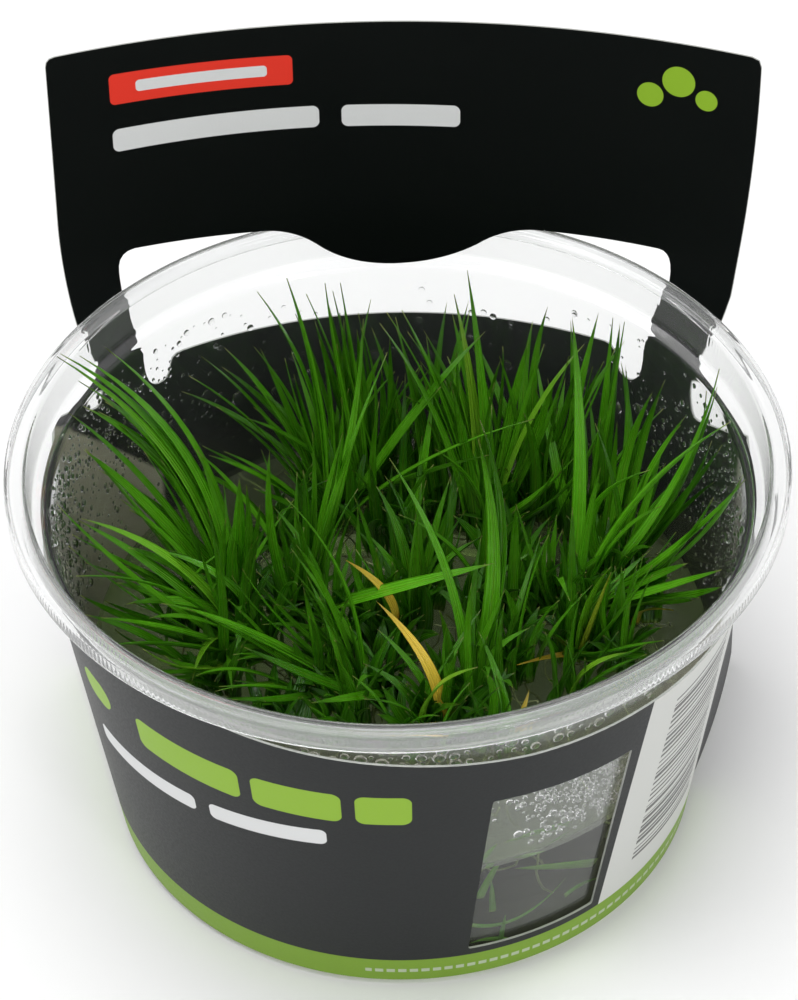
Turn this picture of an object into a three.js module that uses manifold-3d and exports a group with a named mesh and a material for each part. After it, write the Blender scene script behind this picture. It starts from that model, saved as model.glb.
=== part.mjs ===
// A tissue culture cup: clear cup, culture gel, card sleeve with header, and seven tufts of grassy leaves.
// Millimetres, +Z up. The origin is the centre of the cup's flat underside and -Y is the front.
import * as THREE from 'three';
import { mergeVertices } from 'three/addons/utils/BufferGeometryUtils.js';
import Module from 'manifold-3d';

// Driving dimensions of the cup
const RIM_RADIUS = 50;
const RIM_TOP = 57.7;
const SKIRT_BOTTOM = 54.9;
const LEDGE_HEIGHT = 51.4;
const BASE_RADIUS = 38.9;
const WALL_FLARE = 0.1266;
const WALL_THICKNESS = 0.7;
const BASE_THICKNESS = 0.8;
const SEAT_RADIUS = 46.7;
const ROUND_STEPS = 48;

// Driving dimensions of the gel and of the card
const GEL_TOP = 23.3;
const CLEARANCE = 0.3;
const CARD_THICKNESS = 0.4;
const CARD_BOTTOM = 1;
const CARD_BASE_RADIUS = BASE_RADIUS + CLEARANCE + CARD_THICKNESS;
const BACK_BEND = 63;
const RIGHT_FOLD = 47.2;
const LEFT_FOLD = 46.3;

// Driving dimensions of the leaves
const LEAF_WIDTH = 2.3;
const LEAF_THICKNESS = 0.5;
const LEAF_STATIONS = [0, 0.3, 0.6, 0.85];
const CROWN_RADIUS = 4.6;
const CROWN_HEIGHT = 3.6;
const CROWN_BASE = GEL_TOP + CLEARANCE;

const wasm = await Module();
wasm.setup();

const degrees = THREE.MathUtils.degToRad;
const lerp = THREE.MathUtils.lerp;

// A closed three.js geometry as a solid that can be joined and cut
function solidOf(geometry) {
  const bare = geometry.clone();
  bare.deleteAttribute('normal');
  bare.deleteAttribute('uv');
  const merged = mergeVertices(bare, 1e-4);
  const corners = merged.index.array;
  const kept = [];
  for (let i = 0; i < corners.length; i += 3) {
    const [a, b, c] = [corners[i], corners[i + 1], corners[i + 2]];
    if (a !== b && b !== c && c !== a) kept.push(a, b, c);
  }
  return new wasm.Manifold(new wasm.Mesh({
    numProp: 3,
    vertProperties: new Float32Array(merged.attributes.position.array),
    triVerts: new Uint32Array(kept),
  }));
}

function geometryOf(solid) {
  const mesh = solid.getMesh();
  const geometry = new THREE.BufferGeometry();
  geometry.setAttribute('position', new THREE.BufferAttribute(new Float32Array(mesh.vertProperties), 3));
  geometry.setIndex(new THREE.BufferAttribute(new Uint32Array(mesh.triVerts), 1));
  return geometry;
}

// A closed skin over rings of points that all have the same count. Each ring is a closed loop.
function skinOf(rings, closedTube) {
  const count = rings[0].length;
  const points = rings.flat();
  const faces = [];
  const rows = closedTube ? rings.length : rings.length - 1;
  for (let row = 0; row < rows; row += 1) {
    const here = row * count;
    const next = ((row + 1) % rings.length) * count;
    for (let i = 0; i < count; i += 1) {
      const j = (i + 1) % count;
      faces.push(here + i, here + j, next + j, here + i, next + j, next + i);
    }
  }
  return { points, faces, count };
}

function geometryFrom(points, faces) {
  const geometry = new THREE.BufferGeometry();
  geometry.setAttribute('position', new THREE.Float32BufferAttribute(points.flat(), 3));
  geometry.setIndex(faces);
  return geometry;
}

// Cup: one revolved wall with a stepped lid seat and a rolled flange
const wallOuter = (z) => BASE_RADIUS + WALL_FLARE * z;
const wallInner = (z) => wallOuter(z) - WALL_THICKNESS;

function revolved(profile) {
  const points = profile.map(([radius, height]) => new THREE.Vector2(radius, height));
  return new THREE.LatheGeometry(points, ROUND_STEPS).rotateX(Math.PI / 2);
}

const SEAT_TOP = RIM_TOP - 0.6;
const SEAT_FLARE = 0.5;
const SEAT_WALL = 0.6;
const cupProfile = [
  [0, 0],
  [wallOuter(0) - 1.8, 0],
  [wallOuter(1.6), 1.6],
  [wallOuter(LEDGE_HEIGHT), LEDGE_HEIGHT],
  [SEAT_RADIUS + SEAT_WALL, LEDGE_HEIGHT + 0.8],
  [SEAT_RADIUS + SEAT_FLARE + SEAT_WALL, SEAT_TOP - 0.4],
  [RIM_RADIUS - 0.7, SEAT_TOP - 0.1],
  [RIM_RADIUS - 0.6, SKIRT_BOTTOM],
  [RIM_RADIUS, SKIRT_BOTTOM],
  [RIM_RADIUS, RIM_TOP - 0.8],
  [RIM_RADIUS - 0.6, RIM_TOP],
  [SEAT_RADIUS + SEAT_FLARE + 0.8, RIM_TOP],
  [SEAT_RADIUS + SEAT_FLARE, SEAT_TOP],
  [SEAT_RADIUS, LEDGE_HEIGHT + 1],
  [wallInner(LEDGE_HEIGHT - 1), LEDGE_HEIGHT - 1],
  [wallInner(3), 3],
  [wallInner(1) - 1.4, BASE_THICKNESS],
  [0, BASE_THICKNESS],
];

// Gel: a plain disc of set culture gel in the bottom third of the cup
const gelProfile = [
  [0, BASE_THICKNESS + CLEARANCE],
  [wallInner(1) - 2, BASE_THICKNESS + CLEARANCE],
  [wallInner(3) - CLEARANCE, 3.4],
  [wallInner(GEL_TOP) - CLEARANCE, GEL_TOP],
  [0, GEL_TOP],
];

// Card sleeve. At each height its section is a loop: the cup's round front, a flat run to the fold on
// each side, and a flatter back that rises into the header.
function between(knots, at) {
  const last = knots.length - 1;
  if (at <= knots[0][0]) return knots[0][1];
  if (at >= knots[last][0]) return knots[last][1];
  const i = knots.findIndex(([position]) => position > at);
  const [[from, low], [to, high]] = [knots[i - 1], knots[i]];
  return lerp(low, high, (at - from) / (to - from));
}

const cardRadius = (z) => CARD_BASE_RADIUS + WALL_FLARE * Math.min(z, LEDGE_HEIGHT);
const backBend = (z) => between([[45, BACK_BEND], [53, 77], [61, 94], [91, 130]], z);
const backLine = (z) => (z < 45
  ? cardRadius(z) + 0.1
  : between([[45, cardRadius(45) + 0.1], [53, 45], [61, 45.3], [91, 48.9]], z));
const onBack = (x, z) => backLine(z) - backBend(z) + Math.sqrt(backBend(z) ** 2 - x * x);

function cardSection(z) {
  const radius = cardRadius(z);
  const onFront = (azimuth) => [radius * Math.sin(degrees(azimuth)), -radius * Math.cos(degrees(azimuth))];
  const rightFold = RIGHT_FOLD + between([[45, 0], [61, 2.4]], z);
  const loop = [];
  for (let step = 0; step <= 20; step += 1) loop.push(onFront(lerp(-90, 81, step / 20)));
  const start = loop[loop.length - 1];
  const fold = [rightFold, onBack(rightFold, z)];
  for (let step = 1; step < 4; step += 1) {
    const t = step / 4;
    const bulge = 2.4 * t * (1 - t);
    loop.push([lerp(start[0], fold[0], t) + bulge, lerp(start[1], fold[1], t)]);
  }
  for (let step = 0; step <= 14; step += 1) {
    const x = lerp(rightFold, -LEFT_FOLD, step / 14);
    loop.push([x, onBack(x, z)]);
  }
  const left = [-LEFT_FOLD, onBack(LEFT_FOLD, z)];
  for (let step = 1; step < 4; step += 1) {
    loop.push([lerp(left[0], loop[0][0], step / 4), lerp(left[1], loop[0][1], step / 4)]);
  }
  return loop;
}

function inset(loop, distance) {
  return loop.map(([x, y], i) => {
    const [ax, ay] = loop[(i + loop.length - 1) % loop.length];
    const [bx, by] = loop[(i + 1) % loop.length];
    const length = Math.hypot(bx - ax, by - ay);
    return [x - (distance * (by - ay)) / length, y + (distance * (bx - ax)) / length];
  });
}

function cardRing() {
  const heights = [CARD_BOTTOM, 45, 49, 53, 61, 76, 91.5];
  const outside = heights.map((z) => cardSection(z).map(([x, y]) => [x, y, z]));
  const inside = heights.map((z) => inset(cardSection(z), CARD_THICKNESS).map(([x, y]) => [x, y, z]));
  const { points, faces } = skinOf([...outside, ...inside.reverse()], true);
  return solidOf(geometryFrom(points, faces));
}

// An outline in X and Z pushed through the back of the card along Y
function backCutter(shape, near, far) {
  const options = { depth: far - near, bevelEnabled: false, curveSegments: 5 };
  const cutter = new THREE.ExtrudeGeometry(shape, options);
  return solidOf(cutter.rotateX(Math.PI / 2).translate(0, far, 0));
}

const HEADER_FROM = 27;
const HEADER_TO = 62;

function headerShape() {
  const outline = new THREE.Shape();
  outline.moveTo(-36, 34);
  outline.lineTo(-41.3, 40.4);
  outline.quadraticCurveTo(-39.8, 42, -41.2, 47);
  outline.quadraticCurveTo(-44.4, 56, -44.6, 67);
  outline.lineTo(-44.6, 89.2);
  outline.quadraticCurveTo(-44.6, 90.4, -43.4, 90.4);
  outline.lineTo(47.1, 89.2);
  outline.quadraticCurveTo(48.3, 89.2, 48.3, 88);
  outline.quadraticCurveTo(48.1, 72, 45.4, 56);
  outline.quadraticCurveTo(43.8, 50.5, 42.2, 47);
  outline.quadraticCurveTo(40.4, 41, 41.8, 37);
  outline.lineTo(36, 32);
  return outline;
}

function holeShape() {
  const hole = new THREE.Shape();
  hole.moveTo(-35, 46);
  hole.quadraticCurveTo(-35.2, 39.8, -33.2, 39.8);
  hole.quadraticCurveTo(-31.6, 39.8, -31.4, 42.4);
  hole.quadraticCurveTo(-31.2, 43.6, -29.6, 43.6);
  hole.lineTo(29.4, 43.5);
  hole.quadraticCurveTo(30.7, 43.4, 30.9, 41.6);
  hole.quadraticCurveTo(31.2, 38.6, 32.8, 38.6);
  hole.quadraticCurveTo(34.6, 38.8, 34.6, 44);
  hole.quadraticCurveTo(35.4, 50, 37.3, 54);
  hole.quadraticCurveTo(38.4, 59.6, 36, 59.6);
  hole.lineTo(19.6, 59.2);
  hole.bezierCurveTo(12, 58.6, 8.6, 52.5, 0, 52.5);
  hole.bezierCurveTo(-8, 52.5, -10.4, 58.8, -17.6, 59.6);
  hole.lineTo(-35, 61);
  hole.quadraticCurveTo(-37.4, 61, -37.2, 58);
  hole.quadraticCurveTo(-36.9, 52, -35, 46);
  return hole;
}

// The band's top edge slopes down from the left front to the right back: azimuth from the front, height
const BAND_TOP = [
  [-126, 41], [-112, 42], [-95, 45.4], [-78, 48.4], [-58, 50.4], [-38, 50.8], [-20, 49.4], [0, 48],
  [20, 46.4], [40, 45.6], [60, 44.2], [80, 42], [100, 39.5], [119, 37], [126, 36.8],
];
const ARCH_TOP = 43.6;

function bandKeeper() {
  const azimuths = [-179, -127];
  for (let azimuth = -126; azimuth <= 126; azimuth += 7) azimuths.push(azimuth);
  azimuths.push(127, 179);
  const ring = (radius, heightAt) => azimuths.map((azimuth) => [
    radius * Math.sin(degrees(azimuth)), -radius * Math.cos(degrees(azimuth)), heightAt(azimuth)]);
  const top = (azimuth) => (Math.abs(azimuth) > 126 ? ARCH_TOP : between(BAND_TOP, azimuth));
  const { points, faces, count } = skinOf([ring(80, () => -1), ring(80, top), ring(20, top)], false);
  const low = points.push([0, 0, -1]) - 1;
  const high = points.push([0, 0, ARCH_TOP]) - 1;
  for (let i = 0; i < count; i += 1) {
    const j = (i + 1) % count;
    faces.push(low, j, i, high, 2 * count + i, 2 * count + j);
  }
  return solidOf(geometryFrom(points, faces));
}

// The window in the front: its side edges lean, so each corner has its own azimuth and height
const WINDOW_TOP = [[39.5, 38], [14, 38.8]];
const WINDOW_BOTTOM = [[11.1, 6.9], [36.5, 6.9]];

function windowCutter() {
  const steps = 4;
  const rings = [30, 60].map((radius) => {
    const edge = ([from, to]) => Array.from({ length: steps }, (_, step) => {
      const azimuth = degrees(lerp(from[0], to[0], step / (steps - 1)));
      const z = lerp(from[1], to[1], step / (steps - 1));
      return [radius * Math.sin(azimuth), -radius * Math.cos(azimuth), z];
    });
    return [...edge(WINDOW_BOTTOM), ...edge(WINDOW_TOP)];
  });
  const { points, faces, count } = skinOf(rings, false);
  for (let i = 0; i < steps - 1; i += 1) {
    const [a, b, c, d] = [i, i + 1, count - 2 - i, count - 1 - i];
    faces.push(a, c, b, a, d, c, count + a, count + b, count + c, count + a, count + c, count + d);
  }
  return solidOf(geometryFrom(points, faces));
}

function cardSleeve() {
  const kept = backCutter(headerShape(), HEADER_FROM, HEADER_TO).add(bandKeeper());
  const cut = backCutter(holeShape(), HEADER_FROM, HEADER_TO).add(windowCutter());
  return geometryOf(cardRing().intersect(kept).subtract(cut));
}

// Tufts. Each leaf: which crown it grows from, its tip's x, y and z, how far its middle stands up off
// the straight line and how far it sways sideways, and its width as a share of the usual one.
const TUFTS = {
  tuft_left: {
    crowns: [[-22, 7], [-14, 6], [-20, -1]],
    leaves: [
      [0, -44, 16, 61, 5, 3, 1.1], [1, -41, 16, 61, 5, 4, 1.1], [0, -38, 10, 59, 1, 4, 0.9],
      [0, -43, 12, 56, 1, 3, 0.8], [0, -40, 8, 51, 1, 2, 1], [0, -31, 9, 49, 1, 1, 0.7],
      [1, -16, -3, 61, -1, 1, 0.7], [0, -20, -4, 57, 1, 0, 1], [2, -41, 0, 46, 4, 1, 1.2],
      [2, -42, 4, 42, 1, 1, 1.1], [2, -42, -9, 46, 4, 1, 1], [2, -38, -21, 50, 1, 0, 0.9],
      [2, -40, -10, 42, -2, 2, 0.9], [2, -43, -6, 55, -1, 0, 0.7], [0, -42, -3, 46, 1, 0, 0.6],
      [2, -31, -24, 45, -2, 0, 0.8], [1, -4, 15, 67, -3, 0, 1], [1, -1, 13, 63, 1, 0, 0.9],
      [1, -7, 9, 59, -2, -2, 0.9], [1, -11, 9, 53, -1, 0, 0.8], [1, -7, 9, 52, 1, 0, 0.8],
      [1, 12, -10, 47, 3, 1, 1.3],
    ],
    filling: [6, 9, 20],
  },
  tuft_back_left: {
    crowns: [[-9, 24], [-4, 29]],
    leaves: [
      [0, -23, 29, 51, 1, 2, 0.9], [1, -20, 19, 47, 2, 1, 0.8], [0, -28, 28, 46, 2, 2, 0.9],
      [0, -25, 14, 45, 1, 0, 0.9], [0, -18, 26, 63, 3, 2, 1], [0, -14, 28, 63, 2, 0, 0.9],
      [0, -14, 25, 66, 2, 0, 1], [1, -9, 25, 65, -1, 0, 0.9], [1, -7, 25, 65, 0, 0, 0.8],
      [0, -10, 23, 57, 4, 2, 0.9], [0, 12, 24, 57, 1, 0, 1], [0, 6, 20, 51, 0, -1, 0.9],
      [1, 1, 26, 47, 1, 0, 0.8], [0, 18, 13, 51, 4, 0, 1.1],
    ],
    filling: [4, 9, 22],
  },
  tuft_back_right: {
    crowns: [[12, 21], [19, 24]],
    leaves: [
      [0, -1, 26, 59, 2, 1, 1], [0, 1, 24, 61, 1, 1, 1], [0, 8, 27, 61, 0, 1, 1.3],
      [0, 5, 12, 47, 2, -1, 0.7], [1, 14, 26, 51, 0, 1, 0.8], [0, 18, 27, 53, -1, -1, 0.9],
      [0, 20, 26, 53, -1, -1, 0.9], [0, 25, 21, 57, 2, -1, 1], [0, 23, 21, 55, -1, -1, 0.9],
      [1, 19, 38, 48, 0, -2, 0.9], [0, 26, 12, 47, -1, 0, 0.8], [1, 17, 19, 47, 1, 0, 0.8],
      [1, 29, 20, 57, 0, 0, 0.9],
    ],
    filling: [4, 9, 22],
  },
  tuft_middle: {
    crowns: [[2, 5]],
    leaves: [[0, -3, 14, 39, 1, 1, 0.8], [0, 7, 12, 42, 1, 0, 0.7], [0, 10, 6, 36, 2, 0, 0.7]],
    filling: [8, 8, 17],
  },
  tuft_right: {
    crowns: [[23, 5], [28, 11], [23, -3]],
    leaves: [
      [0, 23, 17, 65, 1, 1, 1], [1, 31, 26, 49, -1, 1, 0.8], [1, 34, 18, 51, -2, -2, 0.9],
      [1, 38, 13, 51, 1, -1, 1.1], [0, 42, 13, 59, -3, 0, 1], [0, 42, 14, 55, -3, 1, 0.8],
      [0, 43, 6, 56, 3, -1, 1.3], [1, 41, 8, 51, -2, 0, 0.8], [0, 44, -4, 55, -2, 0, 1.1],
      [0, 34, 0, 47, 2, -2, 0.9], [1, 33, 7, 47, 4, 2, 0.9], [0, 26, 1, 53, 1, -1, 0.9],
      [0, 20, 3, 41, -2, 0, 0.6], [0, 41, -10, 45, 0, -1, 1.2], [0, 38, -13, 42, 0, -3, 1],
      [2, 31, -9, 47, -1, -1, 0.6], [2, 32, -11, 47, 0, 0, 0.6], [2, 27, -9, 45, 1, 0, 0.7],
      [2, 31, -19, 41, -1, 1, 0.8],
    ],
    filling: [6, 9, 20],
  },
  tuft_front_left: {
    crowns: [[-4, -10], [-12, -9]],
    leaves: [
      [0, -14, -10, 59, 3, 1, 0.7], [0, -13, -10, 51, 0, 2, 0.6], [0, -20, -10, 47, -2, 1, 0.7],
      [0, -30, -16, 47, 0, 3, 1], [0, -27, -15, 45, 0, 2, 1], [1, -26, -21, 38, 3, 1, 0.9],
      [1, -23, -23, 38, 2, -1, 0.9],
    ],
    filling: [6, 9, 20],
  },
  tuft_front: {
    crowns: [[9, -13]],
    leaves: [[0, -1, -3, 59, 3, 1, 0.8], [0, 10, -6, 65, -2, 2, 1.2], [0, -3, -6, 37, 1, 0, 0.9]],
    filling: [9, 7, 24],
  },
};
const GOLDEN_ANGLE = 137.5;

// The leaves that fill a tuft spread around its crowns at the golden angle, in three lengths
function fillingLeaves({ crowns, filling: [count, reach, rise] }) {
  return Array.from({ length: count }, (_, k) => {
    const crown = k % crowns.length;
    const heading = degrees(k * GOLDEN_ANGLE);
    const spread = reach * (0.7 + 0.3 * (k % 3));
    const [x, y] = crowns[crown];
    return [crown, x + spread * Math.cos(heading), y + spread * Math.sin(heading),
      CROWN_BASE + rise * (0.7 + 0.15 * ((k + 1) % 4)), 1.5, 0, 0.75];
  });
}

// A leaf's middle line is one arc from its crown to its tip
function leafCurve([crown, x, y, z, lift, sway], crowns) {
  const tip = new THREE.Vector3(x, y, z);
  const root = new THREE.Vector3(...crowns[crown], CROWN_BASE + 1);
  const out = new THREE.Vector3(x - root.x, y - root.y, 0).normalize();
  root.addScaledVector(out, 1.6);
  const along = tip.clone().sub(root).normalize();
  const up = new THREE.Vector3(0, 0, 1).addScaledVector(along, -along.z).normalize();
  const side = along.clone().cross(up);
  const control = root.clone().add(tip).multiplyScalar(0.5).addScaledVector(up, 2 * lift)
    .addScaledVector(side, 2 * sway);
  return new THREE.QuadraticBezierCurve3(root, control, tip);
}

const leafHalfWidth = (t, share) => 0.5 * LEAF_WIDTH * share * Math.min(1, 0.75 + t) * (1 - t) ** 0.6;

// A blade has a shallow keel: its section is a flat triangle with its point down
function leafSolid(curve, share) {
  const reach = curve.v2.clone().sub(curve.v0);
  const level = new THREE.Vector3(-reach.y, reach.x, 0).normalize();
  const rings = LEAF_STATIONS.map((t) => {
    const middle = curve.getPoint(t);
    const along = curve.getTangent(t);
    const side = level.clone().addScaledVector(along, -level.dot(along)).normalize();
    const face = side.clone().cross(along);
    const half = leafHalfWidth(t, share);
    const thick = LEAF_THICKNESS * (1 - 0.5 * t);
    const corner = (across, over) => middle.clone().addScaledVector(side, across).addScaledVector(face, over);
    return [corner(-half, thick * 0.4), corner(half, thick * 0.4), corner(0, -thick * 0.6)]
      .map((point) => point.toArray());
  });
  const { points, faces, count } = skinOf(rings, false);
  const tip = points.push(curve.getPoint(1).toArray()) - 1;
  const last = (rings.length - 1) * count;
  for (let i = 0; i < count; i += 1) faces.push(last + i, last + ((i + 1) % count), tip);
  faces.push(0, 2, 1);
  return geometryFrom(points, faces);
}

// A crown is the low dome where the leaves of one rosette meet
function crownSolid([x, y]) {
  const dome = [[0, 0], [1, 0], [0.72, 0.75], [0, 1]].map(
    ([radius, height]) => new THREE.Vector2(radius * CROWN_RADIUS, height * CROWN_HEIGHT));
  return new THREE.LatheGeometry(dome, 10).rotateX(Math.PI / 2).translate(x, y, CROWN_BASE);
}

// Leaves of different tufts keep clear of each other and of the cup: a leaf that doesn't is swayed or
// lifted a little, then shortened, and left out if nothing helps.
const SAMPLES = Array.from({ length: 13 }, (_, i) => 0.04 + (i * 0.96) / 12);
const LEAF_GAP = 0.45;
const placed = [];

function roomAt(z) {
  if (z > RIM_TOP + 1) return RIM_RADIUS;
  return (z > LEDGE_HEIGHT + 1 ? SEAT_RADIUS : wallInner(z) - 0.6) - 0.6;
}

function isClear(curve, share, tuft) {
  const dots = SAMPLES.map((t) => ({ point: curve.getPoint(t), radius: leafHalfWidth(t, share) }));
  const inside = dots.every(({ point, radius }) => Math.hypot(point.x, point.y) + radius < roomAt(point.z)
    && point.z - radius > GEL_TOP + 0.5);
  const apart = placed.every((other) => other.tuft === tuft || other.dots.every((theirs) => dots.every(
    ({ point, radius }) => point.distanceTo(theirs.point) > radius + theirs.radius + LEAF_GAP)));
  return inside && apart ? dots : null;
}

const NUDGES = [0, 1.5, -1.5, 3, -3, 4.5, -4.5];

function placeLeaf(leaf, tuft, crowns) {
  const [crown, x, y, z, lift, sway, share] = leaf;
  const root = new THREE.Vector3(...crowns[crown], CROWN_BASE + 1);
  for (const length of [1, 0.93, 0.86, 0.78]) {
    const tip = root.clone().lerp(new THREE.Vector3(x, y, z), length);
    for (const more of NUDGES) {
      for (const turn of NUDGES) {
        const curve = leafCurve([crown, ...tip.toArray(), lift + more, sway + turn], crowns);
        const dots = isClear(curve, share, tuft);
        if (dots) {
          placed.push({ tuft, dots });
          return leafSolid(curve, share);
        }
      }
    }
  }
  return null;
}

function tuftGeometries() {
  const solids = {};
  for (const [name, { crowns }] of Object.entries(TUFTS)) {
    solids[name] = crowns.map(crownSolid);
    crowns.forEach(([x, y]) => placed.push({ tuft: name, dots: [{
      point: new THREE.Vector3(x, y, CROWN_BASE), radius: CROWN_RADIUS }] }));
  }
  for (const listOf of [({ leaves }) => leaves, fillingLeaves]) {
    for (const [name, tuft] of Object.entries(TUFTS)) {
      const grown = listOf(tuft).map((leaf) => placeLeaf(leaf, name, tuft.crowns));
      solids[name].push(...grown.filter(Boolean));
    }
  }
  return solids;
}

// The scene graph: one named mesh for each piece
const model = new THREE.Group();

function addPiece(name, geometry, look) {
  const material = new THREE.MeshStandardMaterial({ metalness: 0, ...look });
  const mesh = new THREE.Mesh(geometry, material);
  mesh.name = name;
  model.add(mesh);
}

addPiece('cup', revolved(cupProfile), { color: 0xf2f4f4, roughness: 0.08, transparent: true, opacity: 0.35 });
addPiece('gel', revolved(gelProfile), { color: 0xb9bcae, roughness: 0.25, transparent: true, opacity: 0.6 });
addPiece('card_sleeve', cardSleeve(), { color: 0x1d2122, roughness: 0.55 });
for (const [name, pieces] of Object.entries(tuftGeometries())) {
  const joined = wasm.Manifold.union(pieces.map(solidOf));
  addPiece(name, geometryOf(joined), { color: 0x2f7d14, roughness: 0.45 });
}

export default model;
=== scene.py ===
# %% [markdown]
# # A cup of tissue cultured grass plant
#
# The object is a clear cup of small grassy aquarium plants that stand in a culture gel, with a
# black card sleeve folded round it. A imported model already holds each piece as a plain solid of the
# real size. This script keeps those places and sizes, and gives every piece the shape and the
# finish that the eye sees.

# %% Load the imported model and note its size
import math
from collections import namedtuple

import bmesh
import bpy
import numpy as np
from mathutils import Matrix, Vector
from mathutils.geometry import delaunay_2d_cdt


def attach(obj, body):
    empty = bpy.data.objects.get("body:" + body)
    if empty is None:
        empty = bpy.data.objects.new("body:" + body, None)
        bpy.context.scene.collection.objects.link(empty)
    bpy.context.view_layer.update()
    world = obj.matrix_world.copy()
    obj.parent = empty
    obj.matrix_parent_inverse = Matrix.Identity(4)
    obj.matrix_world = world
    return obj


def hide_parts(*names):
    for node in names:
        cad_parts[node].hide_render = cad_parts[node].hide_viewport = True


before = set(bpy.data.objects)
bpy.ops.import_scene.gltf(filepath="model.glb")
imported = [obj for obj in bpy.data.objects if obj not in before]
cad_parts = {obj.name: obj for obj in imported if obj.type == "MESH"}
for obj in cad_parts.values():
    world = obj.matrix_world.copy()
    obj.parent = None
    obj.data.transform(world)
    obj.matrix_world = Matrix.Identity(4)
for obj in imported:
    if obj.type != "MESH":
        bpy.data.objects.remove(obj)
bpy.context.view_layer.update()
MM = 0.001
print("nodes:", sorted(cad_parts))

# %% [markdown]
# ## Camera
#
# The photograph looks down on the cup from the front. Its rim, its band and its foot were measured
# in the picture, and a pinhole camera was fitted to them. A long lens far away and a short lens
# close up both frame the cup, but only one of them gives the rim and the foot their true ratio, so
# the distance is as much a result as the angle is. The fit's origin lies 1 mm above the table, at
# the height of the card's lower edge.

# %% Camera
PHOTO_LONG_SIDE = 1000
FOCAL_LENGTH_PX = 3229.6
CAMERA_DISTANCE = 450
CAMERA_ELEVATION = math.radians(47.103)
CAMERA_PITCH = math.radians(42.594)
CAMERA_YAW = math.radians(0.018)
CAMERA_ROLL = math.radians(-1.213)
FITTED_FOOT = 1
SENSOR_WIDTH = 36
NEAREST_SEEN = 0.02


def camera_axes():
    """The camera's right, up and backward directions."""
    level = math.cos(CAMERA_PITCH)
    heading = Vector((math.sin(CAMERA_YAW), math.cos(CAMERA_YAW)))
    forward = Vector((*(heading * level), -math.sin(CAMERA_PITCH)))
    right = forward.cross(Vector((0, 0, 1))).normalized()
    up = right.cross(forward)
    turn, lean = math.cos(CAMERA_ROLL), math.sin(CAMERA_ROLL)
    return turn * right + lean * up, turn * up - lean * right, -forward


camera = bpy.data.objects.new("camera", bpy.data.cameras.new("camera"))
bpy.context.scene.collection.objects.link(camera)
bpy.context.scene.camera = camera
camera.data.sensor_width = SENSOR_WIDTH
camera.data.lens = SENSOR_WIDTH * FOCAL_LENGTH_PX / PHOTO_LONG_SIDE
camera.data.clip_start = NEAREST_SEEN
camera_way = Vector((0, -math.cos(CAMERA_ELEVATION), math.sin(CAMERA_ELEVATION)))
camera_place = camera_way * CAMERA_DISTANCE
camera_place.z += FITTED_FOOT
turned = Matrix(camera_axes()).transposed().to_4x4()
camera.matrix_world = Matrix.Translation(camera_place * MM) @ turned
print(f"lens {camera.data.lens:.1f} mm at {CAMERA_DISTANCE} mm")

# %% [markdown]
# ## Helpers for nodes
#
# Shader trees and geometry trees are both graphs of small sums. Written as raw nodes and links they
# are hard to read, so `Field` wraps one socket and lets Python's own signs build the nodes: `a * b
# + 1` makes a multiply and an add.

# %% Node helpers


def feed(tree, socket, value):
    """Links a socket or a Field to this input, or sets a plain value. A colour may be 3 numbers."""
    value = value.socket if isinstance(value, Field) else value
    if isinstance(value, bpy.types.NodeSocket):
        tree.links.new(value, socket)
    elif socket.type == "RGBA" and len(value) == 3:
        socket.default_value = (*value, 1)
    else:
        socket.default_value = value


def node(tree, kind, inputs=None, **settings):
    """Adds one node and feeds its inputs."""
    made = tree.nodes.new(kind)
    for name, value in settings.items():
        setattr(made, name, value)
    for key, value in (inputs or {}).items():
        feed(tree, made.inputs[key], value)
    return made


class Field:
    """A number or a vector in a node tree."""

    def __init__(self, tree, socket):
        self.tree, self.socket = tree, socket

    def is_vector(self):
        """Whether the sums are done on three numbers at once."""
        return self.socket.type in ("VECTOR", "RGBA")

    def math(self, operation, *others):
        """One Math or Vector Math node."""
        kind = "ShaderNodeMath"
        if self.is_vector():
            kind = "ShaderNodeVectorMath"
        made = node(self.tree, kind, dict(enumerate((self, *others))), operation=operation)
        result = "Value" if operation in ("DOT_PRODUCT", "LENGTH") else 0
        return Field(self.tree, made.outputs[result])

    def times(self, factor):
        """A vector made longer or shorter."""
        parts = {0: self, "Scale": factor}
        made = node(self.tree, "ShaderNodeVectorMath", parts, operation="SCALE")
        return Field(self.tree, made.outputs[0])

    def __add__(self, other):
        return self.math("ADD", other)

    def __sub__(self, other):
        return self.math("SUBTRACT", other)

    def __mul__(self, other):
        scalar = not (isinstance(other, Field) and other.is_vector())
        return self.times(other) if self.is_vector() and scalar else self.math("MULTIPLY", other)

    def __pow__(self, other):
        return self.math("POWER", other)

    def __neg__(self):
        return self * -1.0

    def split(self):
        """The three numbers of a vector."""
        made = node(self.tree, "ShaderNodeSeparateXYZ", {0: self})
        return [Field(self.tree, socket) for socket in made.outputs]

    def ramp(self, low, high, start=0.0, end=1.0, smooth=True):
        """This value mapped from low..high to start..end, and held there."""
        kind = "SMOOTHSTEP" if smooth else "LINEAR"
        places = {"Value": self, "From Min": low, "From Max": high, "To Min": start, "To Max": end}
        made = node(self.tree, "ShaderNodeMapRange", places, interpolation_type=kind)
        return Field(self.tree, made.outputs["Result"])


MIX_FACTOR, MIX_FIRST, MIX_SECOND, MIXED = 0, 6, 7, 2


def blend_colours(tree, factor, first, second):
    """One colour turned into another by factor."""
    parts = {MIX_FACTOR: factor, MIX_FIRST: first, MIX_SECOND: second}
    return node(tree, "ShaderNodeMix", parts, data_type="RGBA").outputs[MIXED]


def coordinates(tree, what="Object"):
    """A place on the piece, in metres."""
    return Field(tree, node(tree, "ShaderNodeTexCoord").outputs[what])


def attribute(tree, name):
    """A number that the mesh carries."""
    return Field(tree, node(tree, "ShaderNodeAttribute", attribute_name=name).outputs["Fac"])


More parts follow.
